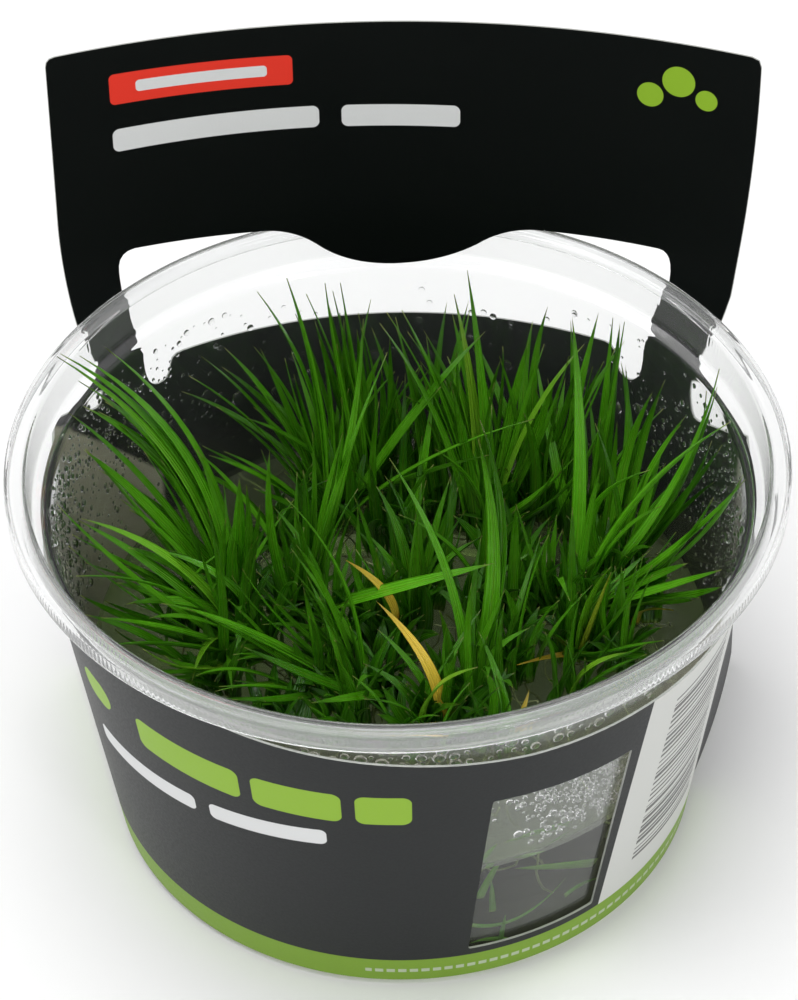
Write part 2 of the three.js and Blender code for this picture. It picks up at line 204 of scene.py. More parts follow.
def noise(tree, place, scale, detail=2.0, roughness=0.5):
    """Soft random values between 0 and 1."""
    places = {"Vector": place, "Scale": scale, "Detail": detail, "Roughness": roughness}
    return Field(tree, node(tree, "ShaderNodeTexNoise", places).outputs["Fac"])


def bump(tree, height, distance):
    """A normal tilted by a height."""
    made = node(tree, "ShaderNodeBump", {"Height": height, "Distance": distance, "Strength": 1.0})
    return made.outputs["Normal"]


def new_material(name):
    """A material with one Principled shader, and that shader."""
    material = bpy.data.materials.new(name)
    material.use_nodes = True
    return material, material.node_tree, material.node_tree.nodes["Principled BSDF"]


def set_inputs(tree, shader, **values):
    """Feeds the shader's inputs; an underscore in a name stands for a space."""
    for name, value in values.items():
        feed(tree, shader.inputs[name.replace("_", " ")], value)


# %% [markdown]
# ## Studio
#
# The photograph was taken on white, in soft light from above. A pale world gives the even light, a
# little darker towards the horizon, because clear plastic shows its edges only when it has
# something darker to bend into them. One large lamp above gives the plastic and the leaves their
# shine. The lights add up to a floor that is only just white: with more, every reflection of it
# would fog the plastic and the card. The floor is pale and plain.

# %% Light and floor
WORLD_LIGHT = 0.74
HORIZON_SHARE = 0.55
SKY_HEIGHT = 0.6
LIT_HEIGHT = 0.04
KEY_WATTS = 4.3
FRONT_WATTS = 0.6
FLOOR_SIZE = 4
FLOOR_COLOUR = (0.9, 0.9, 0.9)

world = bpy.data.worlds.new("studio")
world.use_nodes = True
sky = world.node_tree
sky.nodes["Background"].inputs["Color"].default_value = (1, 1, 1, 1)
height = coordinates(sky, "Generated").split()[2]
light = height.ramp(0.0, SKY_HEIGHT, WORLD_LIGHT * HORIZON_SHARE, WORLD_LIGHT)
sky.links.new(light.socket, sky.nodes["Background"].inputs["Strength"])
bpy.context.scene.world = world
bpy.context.scene.view_settings.view_transform = "Standard"


def soft_lamp(name, place, size, watts):
    """A square lamp that looks at the middle of the cup."""
    lamp = bpy.data.objects.new(name, bpy.data.lights.new(name, "AREA"))
    lamp.data.size = size
    lamp.data.energy = watts
    lamp.location = place
    backward = Vector(place) - Vector((0, 0, LIT_HEIGHT))
    lamp.rotation_euler = backward.to_track_quat("Z", "Y").to_euler()
    bpy.context.scene.collection.objects.link(lamp)


soft_lamp("key_lamp", (-0.18, 0.05, 0.8), 0.7, KEY_WATTS)
soft_lamp("front_lamp", (0.35, -0.6, 0.5), 0.12, FRONT_WATTS)

floor_mesh = bpy.data.meshes.new("floor")
signs = ((-1, -1), (1, -1), (1, 1), (-1, 1))
corners = [(x * FLOOR_SIZE / 2, y * FLOOR_SIZE / 2, 0) for x, y in signs]
floor_mesh.from_pydata(corners, [], [(0, 1, 2, 3)])
floor = bpy.data.objects.new("floor", floor_mesh)
bpy.context.scene.collection.objects.link(floor)
floor_finish, tree, shader = new_material("floor")
mottle = noise(tree, coordinates(tree), 6.0).ramp(0.3, 0.7, 0.55, 0.7)
set_inputs(tree, shader, Base_Color=FLOOR_COLOUR, Roughness=mottle)
floor_mesh.materials.append(floor_finish)
print(f"lamps of {KEY_WATTS} and {FRONT_WATTS} W over a floor {FLOOR_SIZE} m wide")

# %% [markdown]
# ## Helpers for meshes
#
# Sizes are written in millimetres, as the maker of the cup would, and a mesh is scaled to metres
# when it is made. Round pieces are turned from a profile. Real moulded plastic has no sharp corner,
# so the profile is a list of corners, each with its own radius, and a helper rounds them off.

# %% Mesh helpers
ROUNDING_STEPS = 5
ROUNDING_LIMIT = 0.48


def make_piece(name, points, faces, materials=(), edges=()):
    """A mesh object at the origin. Its points are in millimetres."""
    mesh = bpy.data.meshes.new(name)
    mesh.from_pydata((np.asarray(points, float) * MM).tolist(), edges, faces)
    for material in materials:
        mesh.materials.append(material)
    mesh.shade_smooth()
    piece = bpy.data.objects.new(name, mesh)
    bpy.context.scene.collection.objects.link(piece)
    return piece


def dress(piece, slot, *nodes):
    """The piece moves with the one body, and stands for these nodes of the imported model."""
    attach(piece, "root")
    if nodes:
        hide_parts(*nodes)
    low, high = np.array(piece.bound_box).min(0) / MM, np.array(piece.bound_box).max(0) / MM
    print(f"{piece.name}: {len(piece.data.polygons)} faces, {low.round(1)} to {high.round(1)} mm")


def applied(piece):
    """Turns what the modifiers make into the piece's own plain mesh."""
    graph = bpy.context.evaluated_depsgraph_get()
    shown = piece.evaluated_get(graph)
    mesh = bpy.data.meshes.new_from_object(shown, preserve_all_data_layers=True, depsgraph=graph)
    mesh.name = piece.name
    piece.modifiers.clear()
    piece.data = mesh
    return piece


def around(angle, radius, z):
    """A place at this angle from the front, in radians, and this far from the cup's axis."""
    return radius * math.sin(angle), -radius * math.cos(angle), z


def curve_point(start, control, end, t):
    """A point of the curve from start to end that leans towards the control point."""
    return start * (1 - t) ** 2 + control * 2 * t * (1 - t) + end * t**2


def rounded(corners):
    """A profile's points: each corner is (radius from axis, height, rounding)."""
    points = []
    for i, (r, z, rounding) in enumerate(corners):
        here = Vector((r, z))
        if rounding == 0 or i in (0, len(corners) - 1):
            points.append(here)
            continue
        before = Vector(corners[i - 1][:2]) - here
        after = Vector(corners[i + 1][:2]) - here
        reach = min(rounding, before.length * ROUNDING_LIMIT, after.length * ROUNDING_LIMIT)
        start = here + before.normalized() * reach
        end = here + after.normalized() * reach
        shares = [step / ROUNDING_STEPS for step in range(ROUNDING_STEPS + 1)]
        points += [curve_point(start, here, end, t) for t in shares]
    return points


def turned_piece(name, profile, segments, materials):
    """A solid of revolution. The profile starts and ends on the axis."""
    rings = profile[1:-1]
    angles = np.arange(segments) * 2 * math.pi / segments
    points = [around(a, r, z) for r, z in rings for a in angles]
    first = len(points)
    points += [(0, 0, profile[0][1]), (0, 0, profile[-1][1])]
    faces = []
    for i in range(segments):
        j = (i + 1) % segments
        faces.append((first, j, i))
        for row in range(len(rings) - 1):
            low, high = row * segments, (row + 1) * segments
            faces.append((low + i, low + j, high + j, high + i))
        last = (len(rings) - 1) * segments
        faces.append((first + 1, last + i, last + j))
    return make_piece(name, points, faces, materials)


# %% [markdown]
# ## The cup's plastic
#
# The cup is injection moulded from a clear, slightly milky plastic, less than a millimetre thick.
# One wall is almost invisible, but the rim, where the eye looks through several layers at a low
# angle, turns white. So the shader is plain glass with a small share of white. Lamps send shadow
# rays, which plain glass stops, so those rays get a transparent shader instead. Fine ticks from the
# mould run across the flange, and the wall is faintly wavy. Where gel touches the wall, light goes
# from plastic into gel and hardly bends or reflects, so those faces get a finish of their own whose
# IOR is the ratio of the two. Without it the gel looks fogged from the side. So there are three
# finishes: the wall's, a milkier one for the seat and the rim, and the wetted one.

# %% Clear plastic and water
PLASTIC_IOR = 1.49
WATER_IOR = 1.33
FLANGE_TICKS = 420
TICK_DEPTH = 0.000003
TICKS_BEGIN = (0.0549, 0.0553)
TICKS_END = (0.0564, 0.0568)
WAVE_DEPTH = 0.00009
WETTED_IOR = 1.11


def let_lamps_through(tree, shader, tint):
    """Mixes in a transparent shader for the rays that go to the lamps."""
    clear = node(tree, "ShaderNodeBsdfTransparent", {"Color": (*tint, 1)})
    path = node(tree, "ShaderNodeLightPath")
    parts = {0: path.outputs["Is Shadow Ray"], 1: shader.outputs[0], 2: clear.outputs[0]}
    mixed = node(tree, "ShaderNodeMixShader", parts)
    tree.links.new(mixed.outputs[0], tree.nodes["Material Output"].inputs["Surface"])


def plastic_finish(name, tint, clearness, roughness, tick_depth=0.0, ior=PLASTIC_IOR):
    """Moulded plastic: faint waves, smears along the wall, and ticks across the flange."""
    material, tree, shader = new_material(name)
    place = coordinates(tree)
    x, y, z = place.split()
    azimuth = x.math("ARCTAN2", y)
    on_flange = z.ramp(*TICKS_BEGIN) * z.ramp(*TICKS_END, 1.0, 0.0)
    ticks = (azimuth * float(FLANGE_TICKS)).math("SINE") * on_flange
    height = noise(tree, place, 45.0, 1.0) * WAVE_DEPTH + ticks * tick_depth
    along_wall = Field(tree, node(tree, "ShaderNodeCombineXYZ", {0: 1, 1: 1, 2: 0.4}).outputs[0])
    smears = noise(tree, place * along_wall, 90.0)
    smeared = smears.ramp(0.35, 0.75, *roughness)
    set_inputs(tree, shader, Base_Color=tint, IOR=ior, Transmission_Weight=clearness)
    set_inputs(tree, shader, Roughness=smeared, Normal=bump(tree, height, 1.0))
    let_lamps_through(tree, shader, (0.95, 0.96, 0.96))
    return material


wall_tint, rim_tint = (0.985, 0.99, 0.99), (0.96, 0.965, 0.965)
plastic = plastic_finish("clear_plastic", wall_tint, 0.99, (0.015, 0.08))
plastic_rim = plastic_finish("clear_plastic_rim", rim_tint, 0.95, (0.02, 0.09), TICK_DEPTH)
wetted_name = "clear_plastic_wetted"
plastic_wetted = plastic_finish(wetted_name, wall_tint, 0.99, (0.015, 0.05), ior=WETTED_IOR)

water, tree, shader = new_material("condensed_water")
set_inputs(tree, shader, Base_Color=(1.0, 1.0, 1.0), IOR=WATER_IOR, Transmission_Weight=1.0)
ripple = noise(tree, coordinates(tree), 900.0, 0.0)
set_inputs(tree, shader, Roughness=ripple.ramp(0.3, 0.7, 0.0, 0.02))
let_lamps_through(tree, shader, (0.98, 0.98, 0.98))
print("see-through:", plastic.name, plastic_rim.name, plastic_wetted.name, water.name)

# %% [markdown]
# ## The cup
#
# From the foot up: a flat base with a rounded edge, a wall that flares out, a ledge that the film
# lid was sealed on, a short upright seat above it, and a flange that turns out and down so that the
# rim is stiff. All of it is turned from one profile. The finishes are given out by height: the
# milky one starts just above the ledge, where the eye looks through several layers, and the wetted
# one is on the inner faces below the gel's top.

# %% Cup
BASE_RADIUS = 38.9
WALL_FLARE = 0.1266
WALL_THICKNESS = 0.7
LEDGE_HEIGHT = 51.4
SEAT_RADIUS = 46.7
RIM_RADIUS = 50
RIM_TOP = 57.7
FLANGE_BOTTOM = 54.9
MILKY_FROM = 53
GEL_TOP = 23.3
FLOOR_TOP = 0.8
CUP_SEGMENTS = 192


def wall_outer(z):
    """The wall's outer radius at this height."""
    return BASE_RADIUS + WALL_FLARE * z


def wall_inner(z):
    """The wall's inner radius at this height."""
    return wall_outer(z) - WALL_THICKNESS


cup_corners = [
    (0, 0, 0),
    (30, 0, 0),
    (BASE_RADIUS, 0, 2.2),
    (wall_outer(25), 25, 0),
    (wall_outer(LEDGE_HEIGHT), LEDGE_HEIGHT, 0.6),
    (SEAT_RADIUS + 0.6, LEDGE_HEIGHT + 0.9, 0.5),
    (SEAT_RADIUS + 1.1, RIM_TOP - 1, 0.5),
    (RIM_RADIUS - 0.6, RIM_TOP - 0.7, 0.5),
    (RIM_RADIUS - 0.6, FLANGE_BOTTOM, 0.1),
    (RIM_RADIUS, FLANGE_BOTTOM, 0.2),
    (RIM_RADIUS, RIM_TOP, 0.9),
    (SEAT_RADIUS + 1.2, RIM_TOP, 0.5),
    (SEAT_RADIUS + 0.5, RIM_TOP - 0.6, 0.3),
    (SEAT_RADIUS, LEDGE_HEIGHT + 1, 0.4),
    (wall_inner(LEDGE_HEIGHT) + 0.2, LEDGE_HEIGHT + 0.3, 0.4),
    (wall_inner(LEDGE_HEIGHT - 1), LEDGE_HEIGHT - 1, 0),
    (wall_inner(GEL_TOP), GEL_TOP, 0),
    (wall_inner(FLOOR_TOP), FLOOR_TOP, 1.8),
    (28, FLOOR_TOP, 0),
    (0, FLOOR_TOP, 0),
]
cup_finishes = [plastic, plastic_rim, plastic_wetted]
cup = turned_piece("clear_cup", rounded(cup_corners), CUP_SEGMENTS, cup_finishes)
for face in cup.data.polygons:
    middle = face.center / MM
    inside_wall = math.hypot(middle.x, middle.y) < wall_outer(middle.z) - WALL_THICKNESS / 2
    wetted = inside_wall and FLOOR_TOP / 2 < middle.z < GEL_TOP
    finish = plastic_rim if middle.z > MILKY_FROM else plastic_wetted if wetted else plastic
    face.material_index = cup_finishes.index(finish)
dress(cup, "clear_plastic", "cup")

# %% [markdown]
# ## The gel
#
# The plants grow in a set jelly of water and nutrients. It fills the bottom of the cup, climbs a
# little where it wets the wall, and is never quite level. It touches plastic on all sides but its
# top, so it gets a low IOR, and a thin absorption makes it greenish grey where one looks through a
# lot of it.

# %% Gel
GEL_GAP = 0.03
GEL_IOR = 1.15
GEL_BOTTOM = 0.85
GEL_WAVE = 0.14
GEL_DIMPLES = 0.0006
GEL_TINT = (0.42, 0.5, 0.22, 1)
GEL_ABSORPTION = 62.0
GEL_SEGMENTS = 128

gel_finish, tree, shader = new_material("culture_gel")
haze = noise(tree, coordinates(tree), 40.0, 3.0)
set_inputs(tree, shader, Base_Color=(0.75, 0.82, 0.64), IOR=GEL_IOR, Transmission_Weight=0.985)
set_inputs(tree, shader, Roughness=haze.ramp(0.3, 0.7, 0.02, 0.12))
set_inputs(tree, shader, Normal=bump(tree, haze, GEL_DIMPLES))
let_lamps_through(tree, shader, (0.9, 0.92, 0.88))
soaked = {"Color": GEL_TINT, "Density": GEL_ABSORPTION}
soak = node(tree, "ShaderNodeVolumeAbsorption", soaked)
tree.links.new(soak.outputs[0], tree.nodes["Material Output"].inputs["Volume"])

gel_corners = [
    (0, GEL_BOTTOM, 0),
    (36, GEL_BOTTOM, 0),
    (wall_inner(FLOOR_TOP) - GEL_GAP, GEL_BOTTOM, 1.8),
    *[(wall_inner(z) - GEL_GAP, z, 0) for z in (5, 12, 18, 22)],
    (wall_inner(GEL_TOP) - GEL_GAP, GEL_TOP + 1.1, 0.1),
    (wall_inner(GEL_TOP) - 0.5, GEL_TOP + 0.4, 0.3),
    (wall_inner(GEL_TOP) - 1.6, GEL_TOP, 0.6),
    *[(r, GEL_TOP - 0.15, 0) for r in (38, 34, 30, 26, 22, 18, 14, 10, 6, 3, 0)],
]
gel = turned_piece("culture_gel", rounded(gel_corners), GEL_SEGMENTS, [gel_finish])
for vertex in gel.data.vertices:
    px, py, pz = vertex.co / MM
    if pz > GEL_TOP - 0.3 and math.hypot(px, py) < wall_inner(GEL_TOP) - 0.5:
        vertex.co.z += GEL_WAVE * MM * (math.sin(px * 0.31 + 1) + math.sin(py * 0.27 + px * 0.11))
dress(gel, "culture_gel", "gel")

# %% [markdown]
# ## The card sleeve: its shape
#
# A real sleeve is cut flat from card, with its window and its hole, then creased and bent round the
# cup. The same is done here: the flat outline is filled with triangles, each point is carried to
# its place round the cup, and a Solidify modifier gives the card its thickness. A boolean cut
# through a curved wall would work too, but it leaves long thin triangles, and the flat pattern
# would be lost. Here the flat place is kept as the UV map, and all the printing is drawn in it, in
# real millimetres.

# %% Card sleeve: from the flat sheet to the cup
CARD_THICKNESS = 0.3
CARD_BOTTOM = 1
CARD_RADIUS = BASE_RADIUS + 0.7
RIGHT_FOLD = 47.2
LEFT_FOLD = 46.3
MM_PER_DEGREE = 0.75
LEFT_RUN = 21
LEFT_ROUND = 60
LEFT_PART = LEFT_RUN + (90 - LEFT_ROUND) * MM_PER_DEGREE
RIGHT_ROUND = 81
FRONT_END = LEFT_RUN + (90 + RIGHT_ROUND) * MM_PER_DEGREE
RIGHT_RUN = 27
RIGHT_BULGE = 2.4
RIGHT_END = FRONT_END + RIGHT_RUN
CARD_END = RIGHT_END + RIGHT_FOLD + LEFT_FOLD
HEADER_FREE = 60
HEADER_TOP = 90.4
OUTLINE_STEP = 1.2
BACK_BEND = ([45, 53, 61, 91], [63, 77, 94, 130])
BACK_LINE = ([45, 53, 61, 91], [CARD_RADIUS + WALL_FLARE * 45 + 0.1, 45, 45.3, 48.9])
BAND_TOP = (
    [-126, -112, -95, -78, -58, -38, -20, 0, 20, 40, 60, 80, 100, 119, 126],
    [41, 42, 45.4, 48.4, 50.4, 50.8, 49.4, 48, 46.4, 45.6, 44.2, 42, 39.5, 37, 36.8],
)


def flat_from_azimuth(azimuth):
    """Where a direction from the front, in degrees, lies along the flat card."""
    return LEFT_RUN + (azimuth + 90) * MM_PER_DEGREE


def flat_from_x(x):
    """Where a place across the back panel lies along the flat card."""
    return RIGHT_END + RIGHT_FOLD - x


def on_back(x, z):
    """The back panel's depth: it is bent a little, less and less towards its top."""
    bend = np.interp(z, *BACK_BEND)
    line = CARD_RADIUS + WALL_FLARE * z + 0.1 if z < 45 else np.interp(z, *BACK_LINE)
    return line - bend + math.sqrt(bend**2 - x**2)


def left_wall(share, radius, z):
    """The left side wall: straight from the fold until it touches the cup, then round with it."""
    corner = Vector((-LEFT_FOLD, on_back(LEFT_FOLD, z), z))
    touch_angle = math.atan2(corner.x, -corner.y) + math.acos(radius / corner.xy.length)
    touch = Vector(around(touch_angle, radius, z))
    straight = (touch - corner).length
    gone = share * (straight + radius * (-math.radians(LEFT_ROUND) - touch_angle))
    if gone <= straight:
        return corner.lerp(touch, gone / straight)
    return Vector(around(touch_angle + (gone - straight) / radius, radius, z))


def bent(q, z):
    """The place of a point of the flat card on the sleeve's outer face."""
    radius = CARD_RADIUS + WALL_FLARE * min(z, LEDGE_HEIGHT)
    if q > RIGHT_END or z > HEADER_FREE:
        x = RIGHT_FOLD - (q - RIGHT_END)
        return Vector((x, on_back(x, z), z))
    if q <= LEFT_PART:
        return left_wall(q / LEFT_PART, radius, z)
    if q <= FRONT_END:
        return Vector(around(math.radians((q - LEFT_RUN) / MM_PER_DEGREE - 90), radius, z))
    t = (q - FRONT_END) / (RIGHT_END - FRONT_END)
    corner = Vector((RIGHT_FOLD, on_back(RIGHT_FOLD, z), z))
    round_end = Vector(around(math.radians(RIGHT_ROUND), radius, z))
    return round_end.lerp(corner, t) + Vector((RIGHT_BULGE * t * (1 - t), 0, 0))


def drawn(*steps):
    """An outline's points. A step of 2 numbers is a line, and 4 are a control point and an end."""
    points = [Vector(steps[0])]
    for step in steps[1:]:
        start, end = points[-1], Vector(step[-2:])
        control = Vector(step[:2]) if len(step) == 4 else (start + end) / 2
        length = (control - start).length + (end - control).length
        count = max(2, math.ceil(length / OUTLINE_STEP))
        points += [curve_point(start, control, end, i / count) for i in range(1, count + 1)]
    return points


header = drawn(
    (RIGHT_FOLD, 37.6),
    (43, 36.8),
    (41.4, 36.2, 41.2, 37.6),
    (40.2, 42, 42, 46.6),
    (43.8, 50.5, 45.4, 56),
    (48.1, 72, 48.3, 88),
    (48.3, 89.2, 47.1, 89.2),
    (-43.4, HEADER_TOP),
    (-44.6, HEADER_TOP, -44.6, 89.2),
    (-44.6, 67),
    (-44.4, 56, -41.4, 47.6),
    (-40, 43, -41, 41),
    (-41.6, 40, -43, 41.2),
    (-LEFT_FOLD, 41.9),
)
hole = drawn(
    (-35, 46),
    (-35.2, 39.8, -33.2, 39.8),
    (-31.6, 39.8, -31.4, 42.4),
    (-31.2, 43.6, -29.6, 43.6),
    (29.4, 43.5),
    (30.7, 43.4, 30.9, 41.6),
    (31.2, 38.6, 32.8, 38.6),
    (34.6, 38.8, 34.6, 44),
    (35.4, 50, 37.3, 54),
    (38.4, 59.6, 36, 59.6),
    (20.6, 59.2),
    (15.6, 59.2, 11.6, 56),
    (6.4, 52.5, 0, 52.4),
    (-6.4, 52.5, -10.6, 56.6),
    (-14, 59.6, -18.6, 59.7),
    (-35, 61),
    (-37.4, 61, -37.2, 58),
    (-36.9, 52, -35, 46),
)[:-1]
window = drawn(
    (11.1, 7.3),
    (11.1, 6.9, 11.5, 6.9),
    (36.2, 6.9),
    (36.5, 6.9, 36.6, 7.3),
    (39.4, 37.6),
    (39.5, 38, 39.1, 38),
    (14.4, 38.8),
    (14, 38.8, 13.9, 38.4),
    (11.1, 7.3),
)[:-1]

# %% [markdown]
# The band's top edge was read from the photograph by azimuth, and is carried back on to the flat
# card here. The parts of the outline then make one closed loop, and the hole and the window are two
# more. A row of points along the right fold gives the crease an edge of its own.

# %% Card sleeve: close the outline
EDGE_STEP = 1.5
EDGE_HEIGHT = 45

band_edge = []
for q in np.arange(0, RIGHT_END, EDGE_STEP):
    spot = bent(q, EDGE_HEIGHT)
    azimuth = math.degrees(math.atan2(spot.x, -spot.y))
    band_edge.append(Vector((q, np.interp(azimuth, *BAND_TOP))))
band_edge.append(Vector((RIGHT_END, 37.6)))
heading = [Vector((flat_from_x(p.x), p.y)) for p in header[1:]]
band_edge[0].y = heading[-1].y
left_side = drawn((0, CARD_BOTTOM), (0, band_edge[0].y))
right_side = [Vector((CARD_END, p.y)) for p in reversed(left_side)]
foot = drawn((CARD_END, CARD_BOTTOM), (0, CARD_BOTTOM))
rim = left_side + band_edge[1:] + heading[:-1] + right_side + foot[1:-1]
hole_loop = [Vector((flat_from_x(p.x), p.y)) for p in hole]
window_loop = [Vector((flat_from_azimuth(p.x), p.y)) for p in window]
loops = [rim, hole_loop, window_loop]
crease = drawn((RIGHT_END, CARD_BOTTOM + 0.7), (RIGHT_END, 37.2))
print("card outline:", [len(loop) for loop in loops], "points in its loops")

# %% [markdown]
# A grid of points is laid over the outline, and the points that are inside it and not too near an
# edge are kept. A triangulation then joins all of them, and drops what lies in the hole, in the
# window or outside.

# %% Card sleeve: fill the outline with triangles
GRID_STEP = (1.5, 2.4)
EDGE_CLEARANCE = 0.6
LEAST_AREA = 0.001


def inside(points, loop):
    """Which of the points lie within the closed loop."""
    px, py = np.asarray(points, float).T
    result = np.zeros(len(px), bool)
    ends = np.array([tuple(p) for p in loop])
    for (x1, y1), (x2, y2) in zip(ends, np.roll(ends, -1, 0)):
        crosses = (y1 > py) != (y2 > py)
        if y1 != y2:
            result ^= crosses & (px < (x2 - x1) * (py - y1) / (y2 - y1) + x1)
    return result


def away_from(points, loop, least):
    """Which of the points keep this distance to the loop."""
    ends = np.array([tuple(p) for p in loop])
    result = np.ones(len(points), bool)
    for a, b in zip(ends, np.roll(ends, -1, 0)):
        along = np.clip(((points - a) @ (b - a)) / max((b - a) @ (b - a), 1e-9), 0, 1)
        result &= np.linalg.norm(points - (a + along[:, None] * (b - a)), axis=1) > least
    return result


def fill_flat(loops, extra_edges):
    """Triangles that fill the first loop and leave the others open."""
    verts, edges = [], []
    for loop in loops:
        start = len(verts)
        verts += loop
        edges += [(start + i, start + (i + 1) % len(loop)) for i in range(len(loop))]
    for line in extra_edges:
        start = len(verts)
        verts += line
        edges += [(start + i, start + i + 1) for i in range(len(line) - 1)]
    columns = np.arange(1, CARD_END, GRID_STEP[0])
    heights = np.arange(2, max(p.y for p in loops[0]), GRID_STEP[1])
    grid = np.array([(q, z) for q in columns for z in heights])
    keep = inside(grid, loops[0]) & away_from(grid, loops[0], EDGE_CLEARANCE)
    for loop in loops[1:]:
        keep &= ~inside(grid, loop) & away_from(grid, loop, EDGE_CLEARANCE)
    for line in extra_edges:
        keep &= away_from(grid, line, EDGE_CLEARANCE)
    verts += [Vector(p) for p in grid[keep]]
    flat, _, faces, *_ = delaunay_2d_cdt(verts, edges, [], 0, 1e-4)
    corners = np.array([[tuple(flat[i]) for i in face] for face in faces])
    middles = corners.mean(1)
    one, two = corners[:, 1] - corners[:, 0], corners[:, 2] - corners[:, 0]
    area = np.abs(one[:, 0] * two[:, 1] - one[:, 1] * two[:, 0]) / 2
    good = inside(middles, loops[0]) & (area > LEAST_AREA)
    for loop in loops[1:]:
        good &= ~inside(middles, loop)
    return flat, [face for face, kept in zip(faces, good) if kept]


flat, faces = fill_flat(loops, [crease])
flat_size = f"{CARD_END:.0f} x {HEADER_TOP - CARD_BOTTOM:.0f} mm"
print(f"card: {len(flat)} points, {len(faces)} triangles, {flat_size} when flat")

# %% [markdown]
# ## The card sleeve: its printing
#
# The card is printed black with a green foot, a pale panel with bars, and plain rounded blocks of
# colour. Every block is the same small sum: how far a point of the flat card is from a rounded
# rectangle. That sum is a node group, placed once for each block. The colour then goes from one
# block to the next by plain mixing. Where the card is cut, its pale core shows, and its inner side
# is bare grey board.

# %% Printed block group
INK_BLUR = 0.05


def new_group(name, kind, inputs, outputs):
    """An empty node group, its inputs as Fields by name, and its output node."""
    group = bpy.data.node_groups.new(name, kind)
    for label, socket, value in inputs:
        made = group.interface.new_socket(label, in_out="INPUT", socket_type=socket)
        if value is not None:
            made.default_value = value
    for label, socket in outputs:
        group.interface.new_socket(label, in_out="OUTPUT", socket_type=socket)
    start = group.nodes.new("NodeGroupInput")
    end = group.nodes.new("NodeGroupOutput")
    given = {socket.name: Field(group, socket) for socket in start.outputs if socket.name}
    return group, given, end


inputs = [
    ("Place", "NodeSocketVector", None),
    ("Centre", "NodeSocketVector", None),
    ("Half Size", "NodeSocketVector", None),
    ("Slant", "NodeSocketFloat", 0.0),
    ("Corner", "NodeSocketFloat", 0.5),
]
outputs = [("Mask", "NodeSocketFloat")]
block_group, given, end = new_group("printed_block", "ShaderNodeTree", inputs, outputs)
across, above, _ = (given["Place"] - given["Centre"]).split()
above = above - across * given["Slant"]
half_across, half_above, _ = given["Half Size"].split()
past_side = (across.math("ABSOLUTE") - half_across + given["Corner"]).math("MAXIMUM", 0.0)
past_top = (above.math("ABSOLUTE") - half_above + given["Corner"]).math("MAXIMUM", 0.0)
distance = (past_side * past_side + past_top * past_top).math("SQRT") - given["Corner"]
mask = distance.ramp(-INK_BLUR, INK_BLUR, 1.0, 0.0)
block_group.links.new(mask.socket, end.inputs["Mask"])

inputs = [("Place", "NodeSocketVector", None), ("Scale", "NodeSocketFloat", 50.0)]
outputs = [("Coarse", "NodeSocketFloat"), ("Fine", "NodeSocketFloat")]
mottle_group, given, end = new_group("paper_mottle", "ShaderNodeTree", inputs, outputs)
coarse = noise(mottle_group, given["Place"], given["Scale"], 3.0)
mottle_group.links.new(coarse.socket, end.inputs["Coarse"])
fine = noise(mottle_group, given["Place"], given["Scale"] * 45.0, 3.0, 0.6)
mottle_group.links.new(fine.socket, end.inputs["Fine"])
print("printing groups:", block_group.name, mottle_group.name)

# %% Inks and the printing helper
UV_MM = 100
INK_GREEN = (0.29, 0.5, 0.035)
INK_WHITE = (0.78, 0.79, 0.79)
INK_RED = (0.88, 0.05, 0.03)
INK_GREY = (0.05, 0.05, 0.05)
# The foot stripe is the green ink of INK_GREEN, darkened to about 0.7 as painted shade for the band's
# lower front.
FOOT_GREEN_PAINTED_SHADE = (0.21, 0.37, 0.03)
PANEL_WHITE = (0.66, 0.67, 0.64)
BARE_BOARD = (0.63, 0.61, 0.49)
FLAP_BOARD = (0.38, 0.37, 0.27)
INK_GRAIN = 0.000012
BOARD_GRAIN = 0.00005


def use_group(tree, group, **inputs):
    """A group placed in a tree, with its named inputs fed."""
    made = node(tree, "ShaderNodeGroup", node_tree=group)
    set_inputs(tree, made, **inputs)
    return made


def block(tree, place, left, right, low, high, slant=0.0, corner=0.5):
    """Mask of a printed block. low and high are its heights at its left end."""
    centre = ((left + right) / 2, (low + high) / 2 + slant * (right - left) / 2, 0)
    half = ((right - left) / 2, (high - low) / 2, 0)
    shape = {"Centre": centre, "Half_Size": half, "Slant": slant, "Corner": corner}
    return Field(tree, use_group(tree, block_group, Place=place, **shape).outputs["Mask"])


def largest(masks):
    """One mask that shows all of these."""
    result = masks[0]
    for mask in masks[1:]:
        result = result.math("MAXIMUM", mask)
    return result


def print_card(name, blacks, roughness, gloss, masks_of):
    """A printed side of the card. masks_of gives pairs of mask and ink, laid on in turn."""
    material, tree, shader = new_material(name)
    uv = node(tree, "ShaderNodeUVMap", uv_map="flat_card")
    place = Field(tree, uv.outputs[0]) * float(UV_MM)
    paper = use_group(tree, mottle_group, Place=coordinates(tree), Scale=60.0)
    fine = Field(tree, paper.outputs["Fine"])
    ink = blend_colours(tree, Field(tree, paper.outputs["Coarse"]), *blacks)
    for mask, colour in masks_of(tree, place):
        ink = blend_colours(tree, mask, ink, colour)
    set_inputs(tree, shader, Base_Color=ink, Roughness=fine.ramp(0.3, 0.7, *roughness))
    set_inputs(tree, shader, Specular_IOR_Level=gloss, Normal=bump(tree, fine, INK_GRAIN))
    return material


# %% [markdown]
# The band's blocks are placed by azimuth and height. The bars of the pale panel lie one above the
# other, so a step count along the height picks a random thickness for each. The panel's left edge
# leans with the seam of the flared band.

# %% Printing on the band
SEAM_SLOPE = 0.0836
BARS_PER_MM = 0.95
BAR_VARIETY = 0.65
DASHES_PER_MM = 0.62
FOOT_STRIPE = 5.6
front = flat_from_azimuth


